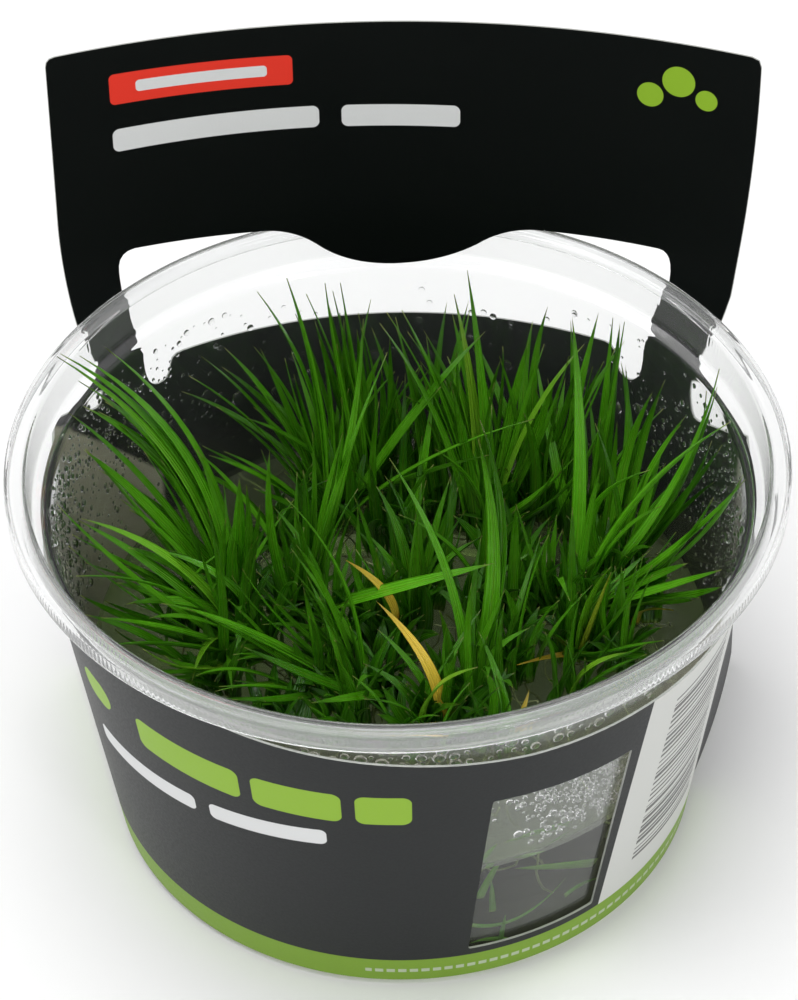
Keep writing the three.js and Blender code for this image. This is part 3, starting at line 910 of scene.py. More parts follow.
def band_print(tree, place):
    """The outer side: the band round the cup."""
    along, height, _ = place.split()
    leaning = along - height * SEAM_SLOPE
    before_seam = along.ramp(FRONT_END, FRONT_END + 0.1, 1.0, 0.0)
    panel = leaning.ramp(front(37.6), front(37.7)) * before_seam
    stripes = (height * BARS_PER_MM).math("FLOOR")
    chance = node(tree, "ShaderNodeTexWhiteNoise", {"W": stripes}, noise_dimensions="1D")
    share = Field(tree, chance.outputs["Value"])
    bar = (height * BARS_PER_MM).math("FRACT") - share * BAR_VARIETY
    bars_area = block(tree, place, front(44), front(67.5), 10.6, 41.5, 0.0, 0.1)
    bars = bar.ramp(0.15, 0.2, 1.0, 0.0) * bars_area
    bars = bars * leaning.ramp(front(44.7), front(44.8))
    foot = height.ramp(FOOT_STRIPE - INK_BLUR, FOOT_STRIPE + INK_BLUR, 1.0, 0.0) * before_seam
    dashes = (along * DASHES_PER_MM).math("FRACT").ramp(0.68, 0.74, 1.0, 0.0)
    dashes = dashes * block(tree, place, front(-8), front(70), 2.8, 3.5, 0.0, 0.1)
    green = [
        block(tree, place, front(-47.7), front(-27), 36.0, 41.6, 0.0, 1.2),
        block(tree, place, front(-24.8), front(-10), 36.0, 41.6, 0.0, 1.2),
        block(tree, place, front(-7.8), front(1.1), 36.0, 41.6, 0.0, 1.2),
        block(tree, place, front(-64), front(-55.5), 36.2, 40.8, 0.0, 2.3),
    ]
    slanted = [
        block(tree, place, front(-63), front(-37), 26.6, 29.6, 0.11, 0.9),
        block(tree, place, front(-34), front(-12.8), 29.0, 32.0, 0.11, 0.9),
    ]
    white = largest(slanted).math("MAXIMUM", dashes * 0.5)
    return [
        # the foot stripe's green carries painted shade
        (panel, PANEL_WHITE), (bars * 0.85, INK_GREY), (foot, FOOT_GREEN_PAINTED_SHADE),
        (largest(green), INK_GREEN), (white, INK_WHITE),
    ]


band_blacks = ((0.0105, 0.0125, 0.013), (0.0125, 0.0145, 0.015))
card_print = print_card("printed_card", band_blacks, (0.38, 0.46), 0.22, band_print)
print("printed outside:", len(card_print.node_tree.nodes), "nodes")

# %% [markdown]
# The header's near face is the inner side of the back panel. It is a deeper and duller black than
# the band, and its blocks are placed as the viewer sees them. The flap that is glued to the panel's
# left end is bare board, cut at a slant.

# %% Printing on the header
FLAP_WIDTH = 12.6
FLAP_TOP = 41
FLAP_SLOPE = 1.25
FLAP_BLUR = 0.5
HEADER_DOTS = ((34.4, 81.6, 1.7), (38, 84, 2.1), (41.6, 82, 1.4))
back = flat_from_x


def header_print(tree, place):
    """The inner side of the back panel, with the bare flap glued to its left end."""

    def header_block(x_left, x_right, low, high, slant, corner):
        """A block whose low and high are its heights at its left end, as the viewer sees it."""
        drop = slant * (x_right - x_left)
        ends = (back(x_right), back(x_left), low + drop, high + drop)
        return block(tree, place, *ends, -slant, corner)

    along, height, _ = place.split()
    from_fold = -along + CARD_END
    flap = from_fold.ramp(FLAP_WIDTH + FLAP_BLUR, FLAP_WIDTH - FLAP_BLUR)
    slanted = (height + from_fold * FLAP_SLOPE).ramp(FLAP_TOP + FLAP_BLUR, FLAP_TOP - FLAP_BLUR)
    flap = flap * slanted
    tag = header_block(-36.8, -12.8, 82.1, 86.4, -0.03, 0.7)
    white = [
        header_block(-33.4, -16.2, 83.4, 85.0, -0.03, 0.5),
        header_block(-36.8, -9.5, 75.4, 78.6, -0.025, 0.9),
        header_block(-6.5, 9.4, 74.6, 77.8, -0.025, 0.9),
    ]
    green = [header_block(x - r, x + r, z - r, z + r, 0, r) for x, z, r in HEADER_DOTS]
    inks = [(flap, FLAP_BOARD), (tag, INK_RED)]
    return inks + [(largest(green), INK_GREEN), (largest(white), INK_WHITE)]


header_blacks = ((0.003, 0.0042, 0.0038), (0.0042, 0.0056, 0.005))
header_inside = print_card("printed_header", header_blacks, (0.42, 0.55), 0.06, header_print)
print("printed inside:", len(header_inside.node_tree.nodes), "nodes")

# %% [markdown]
# Two faces of the card carry no ink: the pale cut edge, and the bare grey board of the inner side.
# Both use the same paper mottle as the black does, each at its own scale.

# %% Bare board
card_core, tree, shader = new_material("card_cut_edge")
paper = use_group(tree, mottle_group, Place=coordinates(tree), Scale=400.0)
pulp = Field(tree, paper.outputs["Coarse"])
core = blend_colours(tree, pulp, (0.26, 0.27, 0.25), (0.42, 0.43, 0.4))
set_inputs(tree, shader, Base_Color=core, Roughness=0.8)

card_inner, tree, shader = new_material("card_inner_side")
paper = use_group(tree, mottle_group, Place=coordinates(tree), Scale=60.0)
fibres = Field(tree, paper.outputs["Fine"])
board = blend_colours(tree, fibres, (0.52, 0.5, 0.4), BARE_BOARD)
set_inputs(tree, shader, Base_Color=board, Roughness=0.75)
set_inputs(tree, shader, Normal=bump(tree, fibres, BOARD_GRAIN))
print("bare board:", card_core.name, card_inner.name)

# %% [markdown]
# The header faces the viewer, so its near side is printed as well. The inner side of the back panel
# is therefore the same black print, and only the front and the side walls show bare board on the
# inside. Solidify gives the new faces the next material slots: the first for the cut edge and the
# second for the inner side.

# %% Build the sleeve
MERGE_DISTANCE = 0.02
EDGE_SLOT = 1
INNER_SLOT = 2
HEADER_SLOT = 3
SHARP_ANGLE = math.radians(35)


def build_card():
    """The flat triangles carried round the cup, given their thickness and their finishes."""
    points = [bent(q, z) for q, z in flat]
    finishes = [card_print, card_core, card_inner, header_inside]
    card = make_piece("card_sleeve_print", points, faces, finishes)
    layer = card.data.uv_layers.new(name="flat_card")
    for loop in card.data.loops:
        q, z = flat[loop.vertex_index]
        layer.data[loop.index].uv = (q / UV_MM, z / UV_MM)
    form = bmesh.new()
    form.from_mesh(card.data)
    bmesh.ops.remove_doubles(form, verts=form.verts, dist=MERGE_DISTANCE * MM)
    form.to_mesh(card.data)
    form.free()
    solid = card.modifiers.new("thickness", "SOLIDIFY")
    solid.thickness = CARD_THICKNESS * MM
    solid.offset = -1
    solid.material_offset_rim = EDGE_SLOT
    solid.material_offset = INNER_SLOT
    applied(card)
    uv = card.data.uv_layers["flat_card"].data
    for face in card.data.polygons:
        q, z = np.mean([uv[i].uv[:] for i in face.loop_indices], axis=0) * UV_MM
        if face.material_index == INNER_SLOT and (q > RIGHT_END or z > HEADER_FREE):
            face.material_index = HEADER_SLOT
    card.data.shade_smooth()
    card.data.set_sharp_from_angle(angle=SHARP_ANGLE)
    return card


card = build_card()
dress(card, "printed_card", "card_sleeve")

# %% [markdown]
# ## Leaves: what a blade is
#
# Each plant is a rosette of narrow blades. A blade leaves the crown steeply, bends outwards in one
# soft arc, is folded along its middle like a V, and tapers to a fine point. Hundreds of them repeat
# one rule, so a geometry tree makes them: the layout is one point for each blade, with its arc,
# width, fold and twist as attributes, a thin tube is placed on every point, and the tube's own
# points are then moved on to the arc. A modelled blade for each would be unchangeable, and hair
# curves would be lost in the export. A closed thin tube keeps every blade a solid with two sides.

# %% Blade tree
BLADE_SIDES = 8
BLADE_STEPS = 15
BLADE_THICKNESS = 0.0003


def named(tree, name, kind="FLOAT"):
    """An attribute of the geometry, by its name."""
    made = node(tree, "GeometryNodeInputNamedAttribute", {"Name": name}, data_type=kind)
    return Field(tree, made.outputs["Attribute"])


def store(tree, geometry, name, value, kind="FLOAT", domain="POINT"):
    """The geometry with one more attribute."""
    parts = {"Geometry": geometry, "Name": name, "Value": value}
    made = node(tree, "GeometryNodeStoreNamedAttribute", parts, data_type=kind, domain=domain)
    return made.outputs[0]


def finish_tree(tree, mesh, given, end):
    """Ends a tree: smooth faces, and the finish that was given."""
    smooth = node(tree, "GeometryNodeSetShadeSmooth", {0: mesh})
    parts = {"Geometry": smooth.outputs[0], "Material": given["Finish"]}
    tree.links.new(node(tree, "GeometryNodeSetMaterial", parts).outputs[0], end.inputs[0])


def blade_tree():
    """Turns points with blade attributes into closed blades."""
    inputs = [
        ("Blades", "NodeSocketGeometry", None),
        ("Thickness", "NodeSocketFloat", BLADE_THICKNESS),
        ("Finish", "NodeSocketMaterial", None),
    ]
    outputs = [("Blades", "NodeSocketGeometry")]
    tree, given, end = new_group("blades", "GeometryNodeTree", inputs, outputs)
    sizes = {"Vertices": BLADE_SIDES, "Side Segments": BLADE_STEPS, "Radius": 1.0, "Depth": 1.0}
    tube = node(tree, "GeometryNodeMeshCylinder", sizes, fill_type="NGON")
    x, y, z = Field(tree, node(tree, "GeometryNodeInputPosition").outputs[0]).split()
    shape = store(tree, tube.outputs["Mesh"], "along", z + 0.5)
    shape = store(tree, shape, "across", x)
    shape = store(tree, shape, "over", y)
    parts = {"Points": given["Blades"], "Instance": shape}
    placed = node(tree, "GeometryNodeInstanceOnPoints", parts)
    real = node(tree, "GeometryNodeRealizeInstances", {0: placed.outputs[0]})
    t, a, over = named(tree, "along"), named(tree, "across"), named(tree, "over")
    reach, lift, side = (named(tree, name, "FLOAT_VECTOR") for name in ("reach", "lift", "side"))
    arc = t * (-t + 1.0) * 4.0
    middle = named(tree, "root", "FLOAT_VECTOR") + reach * t + lift * arc
    tangent = (reach + lift * (t * -8.0 + 4.0)).math("NORMALIZE")
    flat_side = (side - tangent * side.math("DOT_PRODUCT", tangent)).math("NORMALIZE")
    face = tangent.math("CROSS_PRODUCT", flat_side)
    twist = named(tree, "twist") * t
    turn, lean = twist.math("COSINE"), twist.math("SINE")
    across_blade = flat_side * turn + face * lean
    out_of_blade = face * turn - flat_side * lean
    square = t * t
    taper = (-(square * t) + 1.0) * 0.7 + (-t + 1.0) * 0.3
    half = named(tree, "width") * taper * 0.5
    fold = named(tree, "fold")
    spread = a * half * fold.math("COSINE")
    rise = a.math("ABSOLUTE") * half * fold.math("SINE")
    thick = over * given["Thickness"] * (t * -0.6 + 1.0) * 0.5
    point = middle + across_blade * spread + out_of_blade * (rise + thick)
    moved = node(tree, "GeometryNodeSetPosition", {"Geometry": real.outputs[0], "Position": point})
    across_map = node(tree, "ShaderNodeCombineXYZ", {0: a * 0.5 + 0.5, 1: t})
    mapped = store(tree, moved.outputs[0], "blade_map", across_map.outputs[0], "FLOAT2", "CORNER")
    finish_tree(tree, mapped, given, end)
    return tree


def add_tree(piece, tree, **values):
    """A Geometry Nodes modifier with its named inputs set."""
    modifier = piece.modifiers.new(tree.name, "NODES")
    modifier.node_group = tree
    for item in tree.interface.items_tree:
        if item.in_out == "INPUT" and item.name in values:
            modifier[item.identifier] = values[item.name]


blades = blade_tree()
print("blade tree:", len(blades.nodes), "nodes")

# %% [markdown]
# ## Leaves: the living surface
#
# A blade is painted darker low in the cup, below about 36 mm: painted shade for the depth between
# its neighbours. It is pale where it leaves the crown, and brown at its very tip. Fine parallel veins
# run along it. The veins are drawn across the blade's own map, so they follow every bend. The grooves
# between them are darker, partly the leaf's own stripes and partly painted shade in the grooves. A
# part of the light passes through, so a translucent shader is mixed in, and the blade is brighter
# where light comes through. Dead blades keep the same veins in golden yellow with brown stretches.

# %% Leaf material
VEINS = 5.0
LEAF_DEEP = ((0.022, 0.135, 0.0012), (0.045, 0.22, 0.002))
LEAF_FRESH = ((0.11, 0.5, 0.006), (0.22, 0.7, 0.025))
LEAF_LIME = ((0.32, 0.7, 0.02), (0.46, 0.8, 0.07))
LEAF_FOOT = (0.42, 0.5, 0.14)
LEAF_TIP = (0.6, 0.6, 0.16)
DEAD_GOLD, DEAD_BROWN, DEAD_PALE = (1.0, 0.7, 0.07), (0.72, 0.27, 0.015), (0.86, 0.6, 0.2)
LIGHT_THROUGH = 0.26
VEIN_DEPTH, PATCH_DEPTH, MIDRIB_DEPTH = 0.00004, 0.00005, 0.00008


def leaf_material():
    """One finish for all blades. The tone and dead attributes choose its colours."""
    material, tree, shader = new_material("leaf")
    uv = node(tree, "ShaderNodeUVMap", uv_map="blade_map")
    across, along, _ = Field(tree, uv.outputs[0]).split()
    tone = attribute(tree, "tone")
    dead = attribute(tree, "dead")
    patches = noise(tree, coordinates(tree), 260.0, 3.0)
    vein = (across * (VEINS * 2 * math.pi)).math("SINE")
    midrib = (across - 0.5).math("ABSOLUTE").ramp(0.0, 0.07, 1.0, 0.0)
    greens = (LEAF_DEEP, LEAF_FRESH, LEAF_LIME)
    deep, fresh, lime = (blend_colours(tree, patches, *pair) for pair in greens)
    green = blend_colours(tree, tone.ramp(0.0, 0.6), deep, fresh)
    green = blend_colours(tree, tone.ramp(0.6, 1.0), green, lime)
    # The vein grooves are blended towards the deep green: partly the leaf's own stripes, partly
    # painted shade in the grooves.
    green = blend_colours(tree, vein.ramp(-0.6, 0.9, 0.3, 0.0), green, deep)
    green = blend_colours(tree, midrib * 0.3, green, lime)
    # Painted shade: below about 36 mm the blades are blended 30 % towards the deep green, for the
    # depth between them.
    painted_depth_shade = coordinates(tree).split()[2].ramp(0.036, 0.024)
    green = blend_colours(tree, painted_depth_shade * 0.3, green, deep)
    green = blend_colours(tree, along.ramp(0.08, 0.0) * 0.4, green, LEAF_FOOT)
    green = blend_colours(tree, along.ramp(0.93, 1.0) * 0.8, green, LEAF_TIP)
    stretch = noise(tree, coordinates(tree), 120.0, 2.0)
    gold = blend_colours(tree, stretch.ramp(0.56, 0.72), DEAD_GOLD, DEAD_BROWN)
    gold = blend_colours(tree, patches.ramp(0.6, 0.66), gold, DEAD_PALE)
    colour = blend_colours(tree, dead, green, gold)
    height = vein * VEIN_DEPTH + patches * PATCH_DEPTH - midrib * MIDRIB_DEPTH
    normal = bump(tree, height, 1.0)
    set_inputs(tree, shader, Base_Color=colour, Normal=normal, Specular_IOR_Level=0.6)
    set_inputs(tree, shader, Coat_Weight=0.45, Coat_Roughness=0.2)
    set_inputs(tree, shader, Roughness=(patches * 0.6 + vein * 0.06).ramp(0.15, 0.5, 0.22, 0.42))
    through = blend_colours(tree, 0.5, colour, (0.35, 0.75, 0.01))
    glow = node(tree, "ShaderNodeBsdfTranslucent", {"Color": through, "Normal": normal})
    parts = {0: LIGHT_THROUGH, 1: shader.outputs[0], 2: glow.outputs[0]}
    mixed = node(tree, "ShaderNodeMixShader", parts)
    tree.links.new(mixed.outputs[0], tree.nodes["Material Output"].inputs["Surface"])
    return material


leaf_finish = leaf_material()
print("leaf finish:", len(leaf_finish.node_tree.nodes), "nodes")

# %% [markdown]
# ## Leaves: the layout
#
# The blades that one can tell apart in the photograph were followed one by one, and their tips were
# placed on lines of sight from the fitted camera, so they stand where the real ones do. Each row
# is: the crown it grows from, the three numbers of its tip, how far its middle stands up off the
# straight line, how far it sways, its width, and its tone from deep to bright. A tuft's filling is
# a count of further blades, how far they reach and how high they rise.

# %% Blades that can be told apart
TUFTS = {
    "left": {
        "crowns": [(-22, 7), (-14, 6), (-20, -1), (-9, 0), (-28, 2), (-24, -9)],
        "blades": [
            (0, -44, 16, 61, 3.8, 2.6, 2.5, 0.7), (0, -41, 16, 61, 3.9, 3.4, 2.4, 0.55),
            (0, -38, 10, 59, 0.7, 4.2, 2.1, 0.5), (0, -43, 14, 53, 0, 2.7, 1.9, 0.6),
            (0, -41, 9, 51, 0.1, 1.9, 2.2, 0.45), (0, -31, 9, 49, 0.3, 0.7, 1.6, 0.4),
            (1, -16, -3, 61, -1.1, 1.2, 1.7, 0.5), (0, -20, -4, 57, 0.2, 0, 2.6, 0.55),
            (2, -41, 0, 47, 3.2, 1, 2.8, 0.75), (2, -42, 4, 43, 0.8, 0.9, 2.5, 0.35),
            (2, -42, -12, 49, 3.5, 0.6, 2.3, 0.6), (2, -38, -22, 51, 0.5, 0.2, 2.0, 0.5),
            (2, -41, -10, 43, -2.2, 1.9, 2.0, 0.1), (2, -43, -6, 55, -1.2, -0.6, 1.4, 0.5),
            (0, -42, -3, 47, -0.7, 0.5, 1.4, 0.3), (2, -32, -24, 47, -2.2, -0.3, 2.0, 0.85),
            (1, -4, 15, 67, -3.1, -0.3, 2.3, 0.5), (1, -1, 13, 63, 0.5, -0.4, 2.1, 0.6),
            (1, -7, 9, 59, -2.9, -2.1, 2.1, 0.4), (1, -11, 9, 53, -1.2, 0.2, 1.9, 0.35),
            (1, -7, 9, 53, 0.2, -0.1, 1.9, 0.5), (1, 12, -10, 47, 0.8, 1.3, 2.9, 0.6),
            (2, -27, -16, 33, 3.5, 1.5, 2.0, 0.8),
        ],
        "filling": (80, 16, 29),
    },
    "back_left": {
        "crowns": [(-9, 24), (-4, 29), (-1, 19), (-15, 18)],
        "blades": [
            (0, -23, 29, 51, 1, 1.5, 2.0, 0.4), (1, -20, 19, 47, 1, 1.1, 2.0, 0.3),
            (0, -28, 28, 47, 1.2, 1.5, 2.0, 0.35), (0, -25, 14, 45, 0.8, 0.4, 2.0, 0.4),
            (0, -18, 26, 63, 2.5, 1.6, 2.2, 0.55), (0, -14, 28, 63, 1.7, 0.3, 2.0, 0.5),
            (0, -14, 25, 66, 1.6, 0.4, 2.2, 0.6), (1, -9, 25, 65, -0.7, -0.2, 2.0, 0.45),
            (1, -7, 25, 65, 0.2, -0.5, 1.9, 0.4), (0, -10, 23, 57, 3.6, 2.4, 2.0, 0.5),
            (0, 12, 24, 57, 1, -0.3, 2.2, 0.4), (0, 6, 20, 51, 0.1, -1.2, 2.0, 0.45),
            (1, 1, 26, 47, 1.1, -0.1, 1.9, 0.3), (0, 18, 13, 51, 2.1, 0.2, 2.4, 0.55),
        ],
        "filling": (110, 15, 33),
    },
    "back_right": {
        "crowns": [(12, 21), (19, 24), (5, 25), (14, 13), (26, 21)],
        "blades": [
            (0, -1, 26, 59, 1.6, 0.5, 2.2, 0.5), (0, 1, 24, 61, 1, 0.7, 2.1, 0.5),
            (0, 8, 27, 61, -0.1, 0.8, 2.9, 0.95), (0, 5, 12, 47, 1.5, -1.5, 1.7, 0.4),
            (1, 14, 26, 51, 0.1, 1.3, 1.9, 0.4), (0, 18, 27, 53, -1.8, -1.8, 2.1, 0.5),
            (0, 20, 26, 53, -0.8, -1.1, 2.1, 0.45), (0, 25, 21, 57, 1.8, -0.9, 2.2, 0.8),
            (0, 23, 21, 55, -1.5, -1.4, 2.0, 0.6), (1, 19, 36, 49, 0, -1.5, 2.0, 0.35),
            (0, 26, 12, 47, -2, -0.2, 1.9, 0.45), (1, 17, 19, 47, 1, -0.7, 1.9, 0.3),
            (1, 29, 20, 57, 0, -0.6, 2.1, 0.6),
        ],
        "filling": (110, 15, 33),
    },
    "middle": {
        "crowns": [(2, 5), (4, 12), (10, 3), (-3, 1), (-1, -2)],
        "blades": [
            (0, -3, 14, 39, 1, 1, 1.8, 0.3), (0, 7, 12, 42, 1, 0, 1.7, 0.3),
            (0, 10, 6, 36, 2, 0, 1.7, 0.35),
        ],
        "filling": (60, 14, 28),
    },
    "right": {
        "crowns": [(23, 5), (28, 11), (23, -3), (17, 4), (31, 3), (21, -12), (29, -5)],
        "blades": [
            (0, 23, 17, 65, 1.1, 1.1, 2.2, 0.55), (1, 31, 26, 49, -1.4, 1.2, 1.7, 0.35),
            (1, 34, 18, 51, -2.1, -2.8, 1.9, 0.4), (1, 38, 13, 51, 0.6, -1.4, 2.3, 0.5),
            (0, 42, 13, 59, -3.7, 0.2, 2.1, 0.5), (0, 42, 14, 55, -3.2, 0.7, 1.9, 0.45),
            (0, 43, 6, 56, 2.5, -1.4, 2.8, 0.65), (1, 41, 8, 51, -1.7, 0, 1.8, 0.1),
            (0, 44, -4, 55, -1.6, -0.2, 2.3, 0.5), (0, 34, 0, 47, 1.7, -1.8, 2.0, 0.45),
            (1, 33, 7, 47, 5.1, 1.7, 2.0, 0.5), (0, 26, 1, 53, 1.2, -0.8, 1.9, 0.55),
            (0, 20, 3, 41, -2.3, 0.1, 1.5, 0.4), (0, 22, -7, 37, 3.9, 1.7, 2.0, 0.5),
            (0, 41, -10, 45, -0.5, -0.6, 2.7, 0.55), (0, 38, -13, 43, -1.1, -3.7, 2.2, 0.6),
            (2, 31, -9, 47, -1.3, -0.6, 1.5, 0.5), (2, 32, -11, 47, -0.5, -0.4, 1.5, 0.5),
            (2, 27, -9, 45, 1.2, 0.3, 1.7, 0.75), (2, 31, -19, 41, -1, 0.8, 1.9, 0.5),
            (5, 18.5, -12.5, 37, 0.5, 0, 2.3, 0.25), (5, 29, -15.5, 36, 2, 0.5, 1.8, 0.85),
            (6, 30.5, -7.5, 44, 0.5, 0.3, 1.5, 0.5), (6, 32.5, -7.5, 42, 0.8, -0.3, 1.5, 0.45),
        ],
        "filling": (95, 15, 29),
    },
    "front_left": {
        "crowns": [(-4, -10), (-12, -9), (-8, -17), (-16, -16)],
        "blades": [
            (0, -14, -10, 59, 2.7, 1.1, 1.7, 0.6), (0, -13, -10, 51, 0.3, 2.5, 1.5, 0.5),
            (0, -20, -10, 47, -2.1, 1.4, 1.6, 0.4), (0, -30, -16, 47, -0.7, 3.4, 2.1, 0.55),
            (0, -27, -15, 45, -0.8, 2.1, 2.1, 0.5), (1, -26, -21, 39, 1.1, 1.7, 2.0, 0.6),
            (1, -23, -23, 39, 1, -1, 2.0, 0.5), (1, -24, -17, 32, 1.5, -0.5, 2.2, 0.75),
        ],
        "filling": (45, 16, 21),
    },
    "front": {
        "crowns": [(9, -13), (14, -7), (2, -19), (13, -20), (5, -19)],
        "blades": [
            (0, -1, -3, 59, 3, 1.1, 2.0, 0.5), (0, 10, -6, 65, -1.9, 2.3, 2.6, 0.5),
            (0, 9, -14.5, 48, 0.5, 0.5, 1.4, 0.55), (2, 9.5, -23.5, 42, 3, 0.5, 2.8, 0.85),
            (1, 19, -8, 50, 1, 0, 1.8, 0.5),
        ],
        "filling": (60, 13, 23),
    },
}

# %% [markdown]
# A few blades are dead and yellow. Their rows are the same, but the last number says how much of
# the green is gone.

# %% Dead blades
DEAD_BLADES = {
    "front": [
        (4, -3.1, -11.3, 42, 5, 0, 2.3, 1.0), (3, 16.5, -14.5, 28.5, 0.6, 0.5, 1.1, 0.9),
    ],
    "middle": [(4, -7.2, 0.2, 38.5, 4, 0, 2.0, 1.0)],
    "right": [
        (4, 36, -3, 31, 1.5, 1, 1.8, 0.75), (2, 15, -10.5, 29, 1, -1, 1.4, 1.0),
        (2, 27, -9, 44, 0, 0, 1.3, 0.3),
    ],
}
print("blades told apart:", sum(len(tuft["blades"]) for tuft in TUFTS.values()), "living and",
      sum(len(rows) for rows in DEAD_BLADES.values()), "dead")

# %% [markdown]
# A row becomes an arc: its root by the crown, the straight reach to the tip, and the lift of its
# middle. The arc is a plain parabola, so a few points on it are enough to tell whether it stays in
# the cup. If one of them is outside, the tip is drawn in a little and the arc is tried again.

# %% Arcs inside the cup
CROWN_HEIGHT = 24.6
CROWN_RADIUS = 1.3
WALL_CLEARANCE = 0.9
GEL_CLEARANCE = 0.4
ARC_TRIES = 12
DRAWN_IN = 0.95
Blade = namedtuple("Blade", "crown x y z bow sway width tone dead", defaults=(0.0,))


def room_at(z):
    """How far from the axis a blade may reach at this height."""
    if z > RIM_TOP:
        return RIM_RADIUS
    return (SEAT_RADIUS if z > LEDGE_HEIGHT + 1 else wall_inner(z)) - WALL_CLEARANCE


def spots_of(root, reach, lift, shares):
    """Points along a blade."""
    return [root + reach * t + lift * 4 * t * (1 - t) for t in shares]


def arc_of(blade, crowns, scatter=(0, 0)):
    """A blade's root, reach, lift and side. Its tip is drawn in until the arc is in the cup."""
    crown, tip, bow = crowns[blade.crown], Vector(blade[1:4]), blade.bow
    for _ in range(ARC_TRIES):
        root = Vector((crown[0] + scatter[0], crown[1] + scatter[1], CROWN_HEIGHT - 1))
        out = Vector((tip.x - root.x, tip.y - root.y, 0))
        out = out.normalized() if out.length > 0.01 else Vector((0, -1, 0))
        root += out * CROWN_RADIUS
        reach = tip - root
        along = reach.normalized()
        up = (Vector((0, 0, 1)) - along * along.z).normalized()
        lift = up * bow + along.cross(up) * blade.sway
        spots = spots_of(root, reach, lift, (0.3, 0.5, 0.7, 0.85, 1))
        above_gel = all(spot.z > GEL_TOP + GEL_CLEARANCE for spot in spots)
        if above_gel and all(spot.xy.length < room_at(spot.z) for spot in spots):
            break
        tip = root + reach * DRAWN_IN
        bow = bow * 0.9 + 0.1
    side = Vector((-out.y, out.x, 0))
    return root, reach, lift, side


# %% [markdown]
# The blades of the table have to stay in sight. Every further blade is tested from the camera's
# place, and left out if it would stand right in front of the outer part of one of them.

# %% Keep the known blades in sight
CLEAR_VIEW = 0.9
CLEARLY_NEARER = 0.6
eye = np.array(camera_place)


def seen_from_camera(arcs, shares):
    """The directions and the distances, from the camera, of points on these blades."""
    spots = np.array([spot for arc in arcs for spot in spots_of(*arc[:3], shares)]) - eye
    far = np.linalg.norm(spots, axis=1)
    return spots / far[:, None], far


def known_blades(name):
    """The blades of the tables for one tuft."""
    living = [Blade(*row) for row in TUFTS[name]["blades"]]
    return living + [Blade(*row[:7], tone=1.0, dead=row[7]) for row in DEAD_BLADES.get(name, [])]


known_arcs = []
for name, tuft in TUFTS.items():
    known_arcs += [arc_of(blade, tuft["crowns"]) for blade in known_blades(name)]
known_ways, known_distances = seen_from_camera(known_arcs, np.linspace(0.35, 1, 14))
print("points kept in sight:", len(known_distances))


def hides_known(arc):
    """Whether a blade stands right before the seen part of a known one, for the camera."""
    ways, distances = seen_from_camera([arc], np.linspace(0.2, 1, 9))
    before = distances[:, None] < known_distances[None] - CLEARLY_NEARER
    return bool((before & (ways @ known_ways.T > math.cos(CLEAR_VIEW / CAMERA_DISTANCE))).any())


# %% [markdown]
# Between the known blades grow more that nobody would place by hand. Some are companions, of the
# same sheaf as a known one. Some fill the rosette: leaves follow each other at the golden angle, so
# that each gets its own light. The rest are a short thicket round the crowns, given a dark tone as
# painted shade for the depth between the long blades. All of it is scattered with a fixed seed.

# %% Blades between them
GOLDEN_ANGLE = math.radians(137.5)
LEAN_SHARE = 0.55
COMPANIONS = 6
SHEAF_SPREAD = 1.8
THICKET = 20
THICKET_REACH, THICKET_RISE = (1, 8), (3, 11)


def companions(rng, tuft):
    """Blades of the same sheaf as a known one: they lean the same way and mostly reach less far."""
    made = []
    for crown, x, y, z, bow, sway, width, tone in tuft["blades"]:
        foot_x, foot_y = tuft["crowns"][crown]
        for _ in range(COMPANIONS):
            length = rng.uniform(0.66, 1.0)
            wide = rng.normal(0, SHEAF_SPREAD, 3)
            x_tip = foot_x + (x - foot_x) * length + wide[0]
            y_tip = foot_y + (y - foot_y) * length + wide[1]
            z_tip = CROWN_HEIGHT + (z - CROWN_HEIGHT) * length + wide[2]
            bend = (bow * length + rng.normal(0, 0.8), sway * length + rng.normal(0, 0.9))
            look = (width * rng.uniform(0.75, 1.05), tone * rng.uniform(0.3, 1))
            made.append(Blade(crown, x_tip, y_tip, z_tip, *bend, *look))
    return made


def lean_of(tuft):
    """How far a tuft leans to one side, from the mean of its known blades."""
    leans = [np.subtract(row[1:3], tuft["crowns"][row[0]]) for row in tuft["blades"]]
    return np.mean(leans, axis=0) * LEAN_SHARE


def filling_blades(rng, tuft):
    """Blades round the crowns: the inner ones upright, the outer ones low and arched."""
    crowns = tuft["crowns"]
    count, reach, rise = tuft["filling"]
    lean_x, lean_y = lean_of(tuft)
    made = []
    for k in range(count):
        crown = k % len(crowns)
        heading = k * GOLDEN_ANGLE + rng.normal(0, 0.2)
        length = rng.uniform(0.55, 1.15)
        spread = rng.uniform(0.2, 1)
        x = crowns[crown][0] + length * (reach * spread * math.cos(heading) + lean_x)
        y = crowns[crown][1] + length * (reach * spread * math.sin(heading) + lean_y)
        z = CROWN_HEIGHT + rise * length * (1.15 - 0.55 * spread)
        bow, sway = rng.uniform(0.5, 3.5) * spread, rng.normal(0, 0.6)
        width, tone = rng.uniform(1.3, 1.95), 0.1 + 0.5 * rng.beta(2, 2.5)
        made.append(Blade(crown, x, y, z, bow, sway, width, tone))
    return made


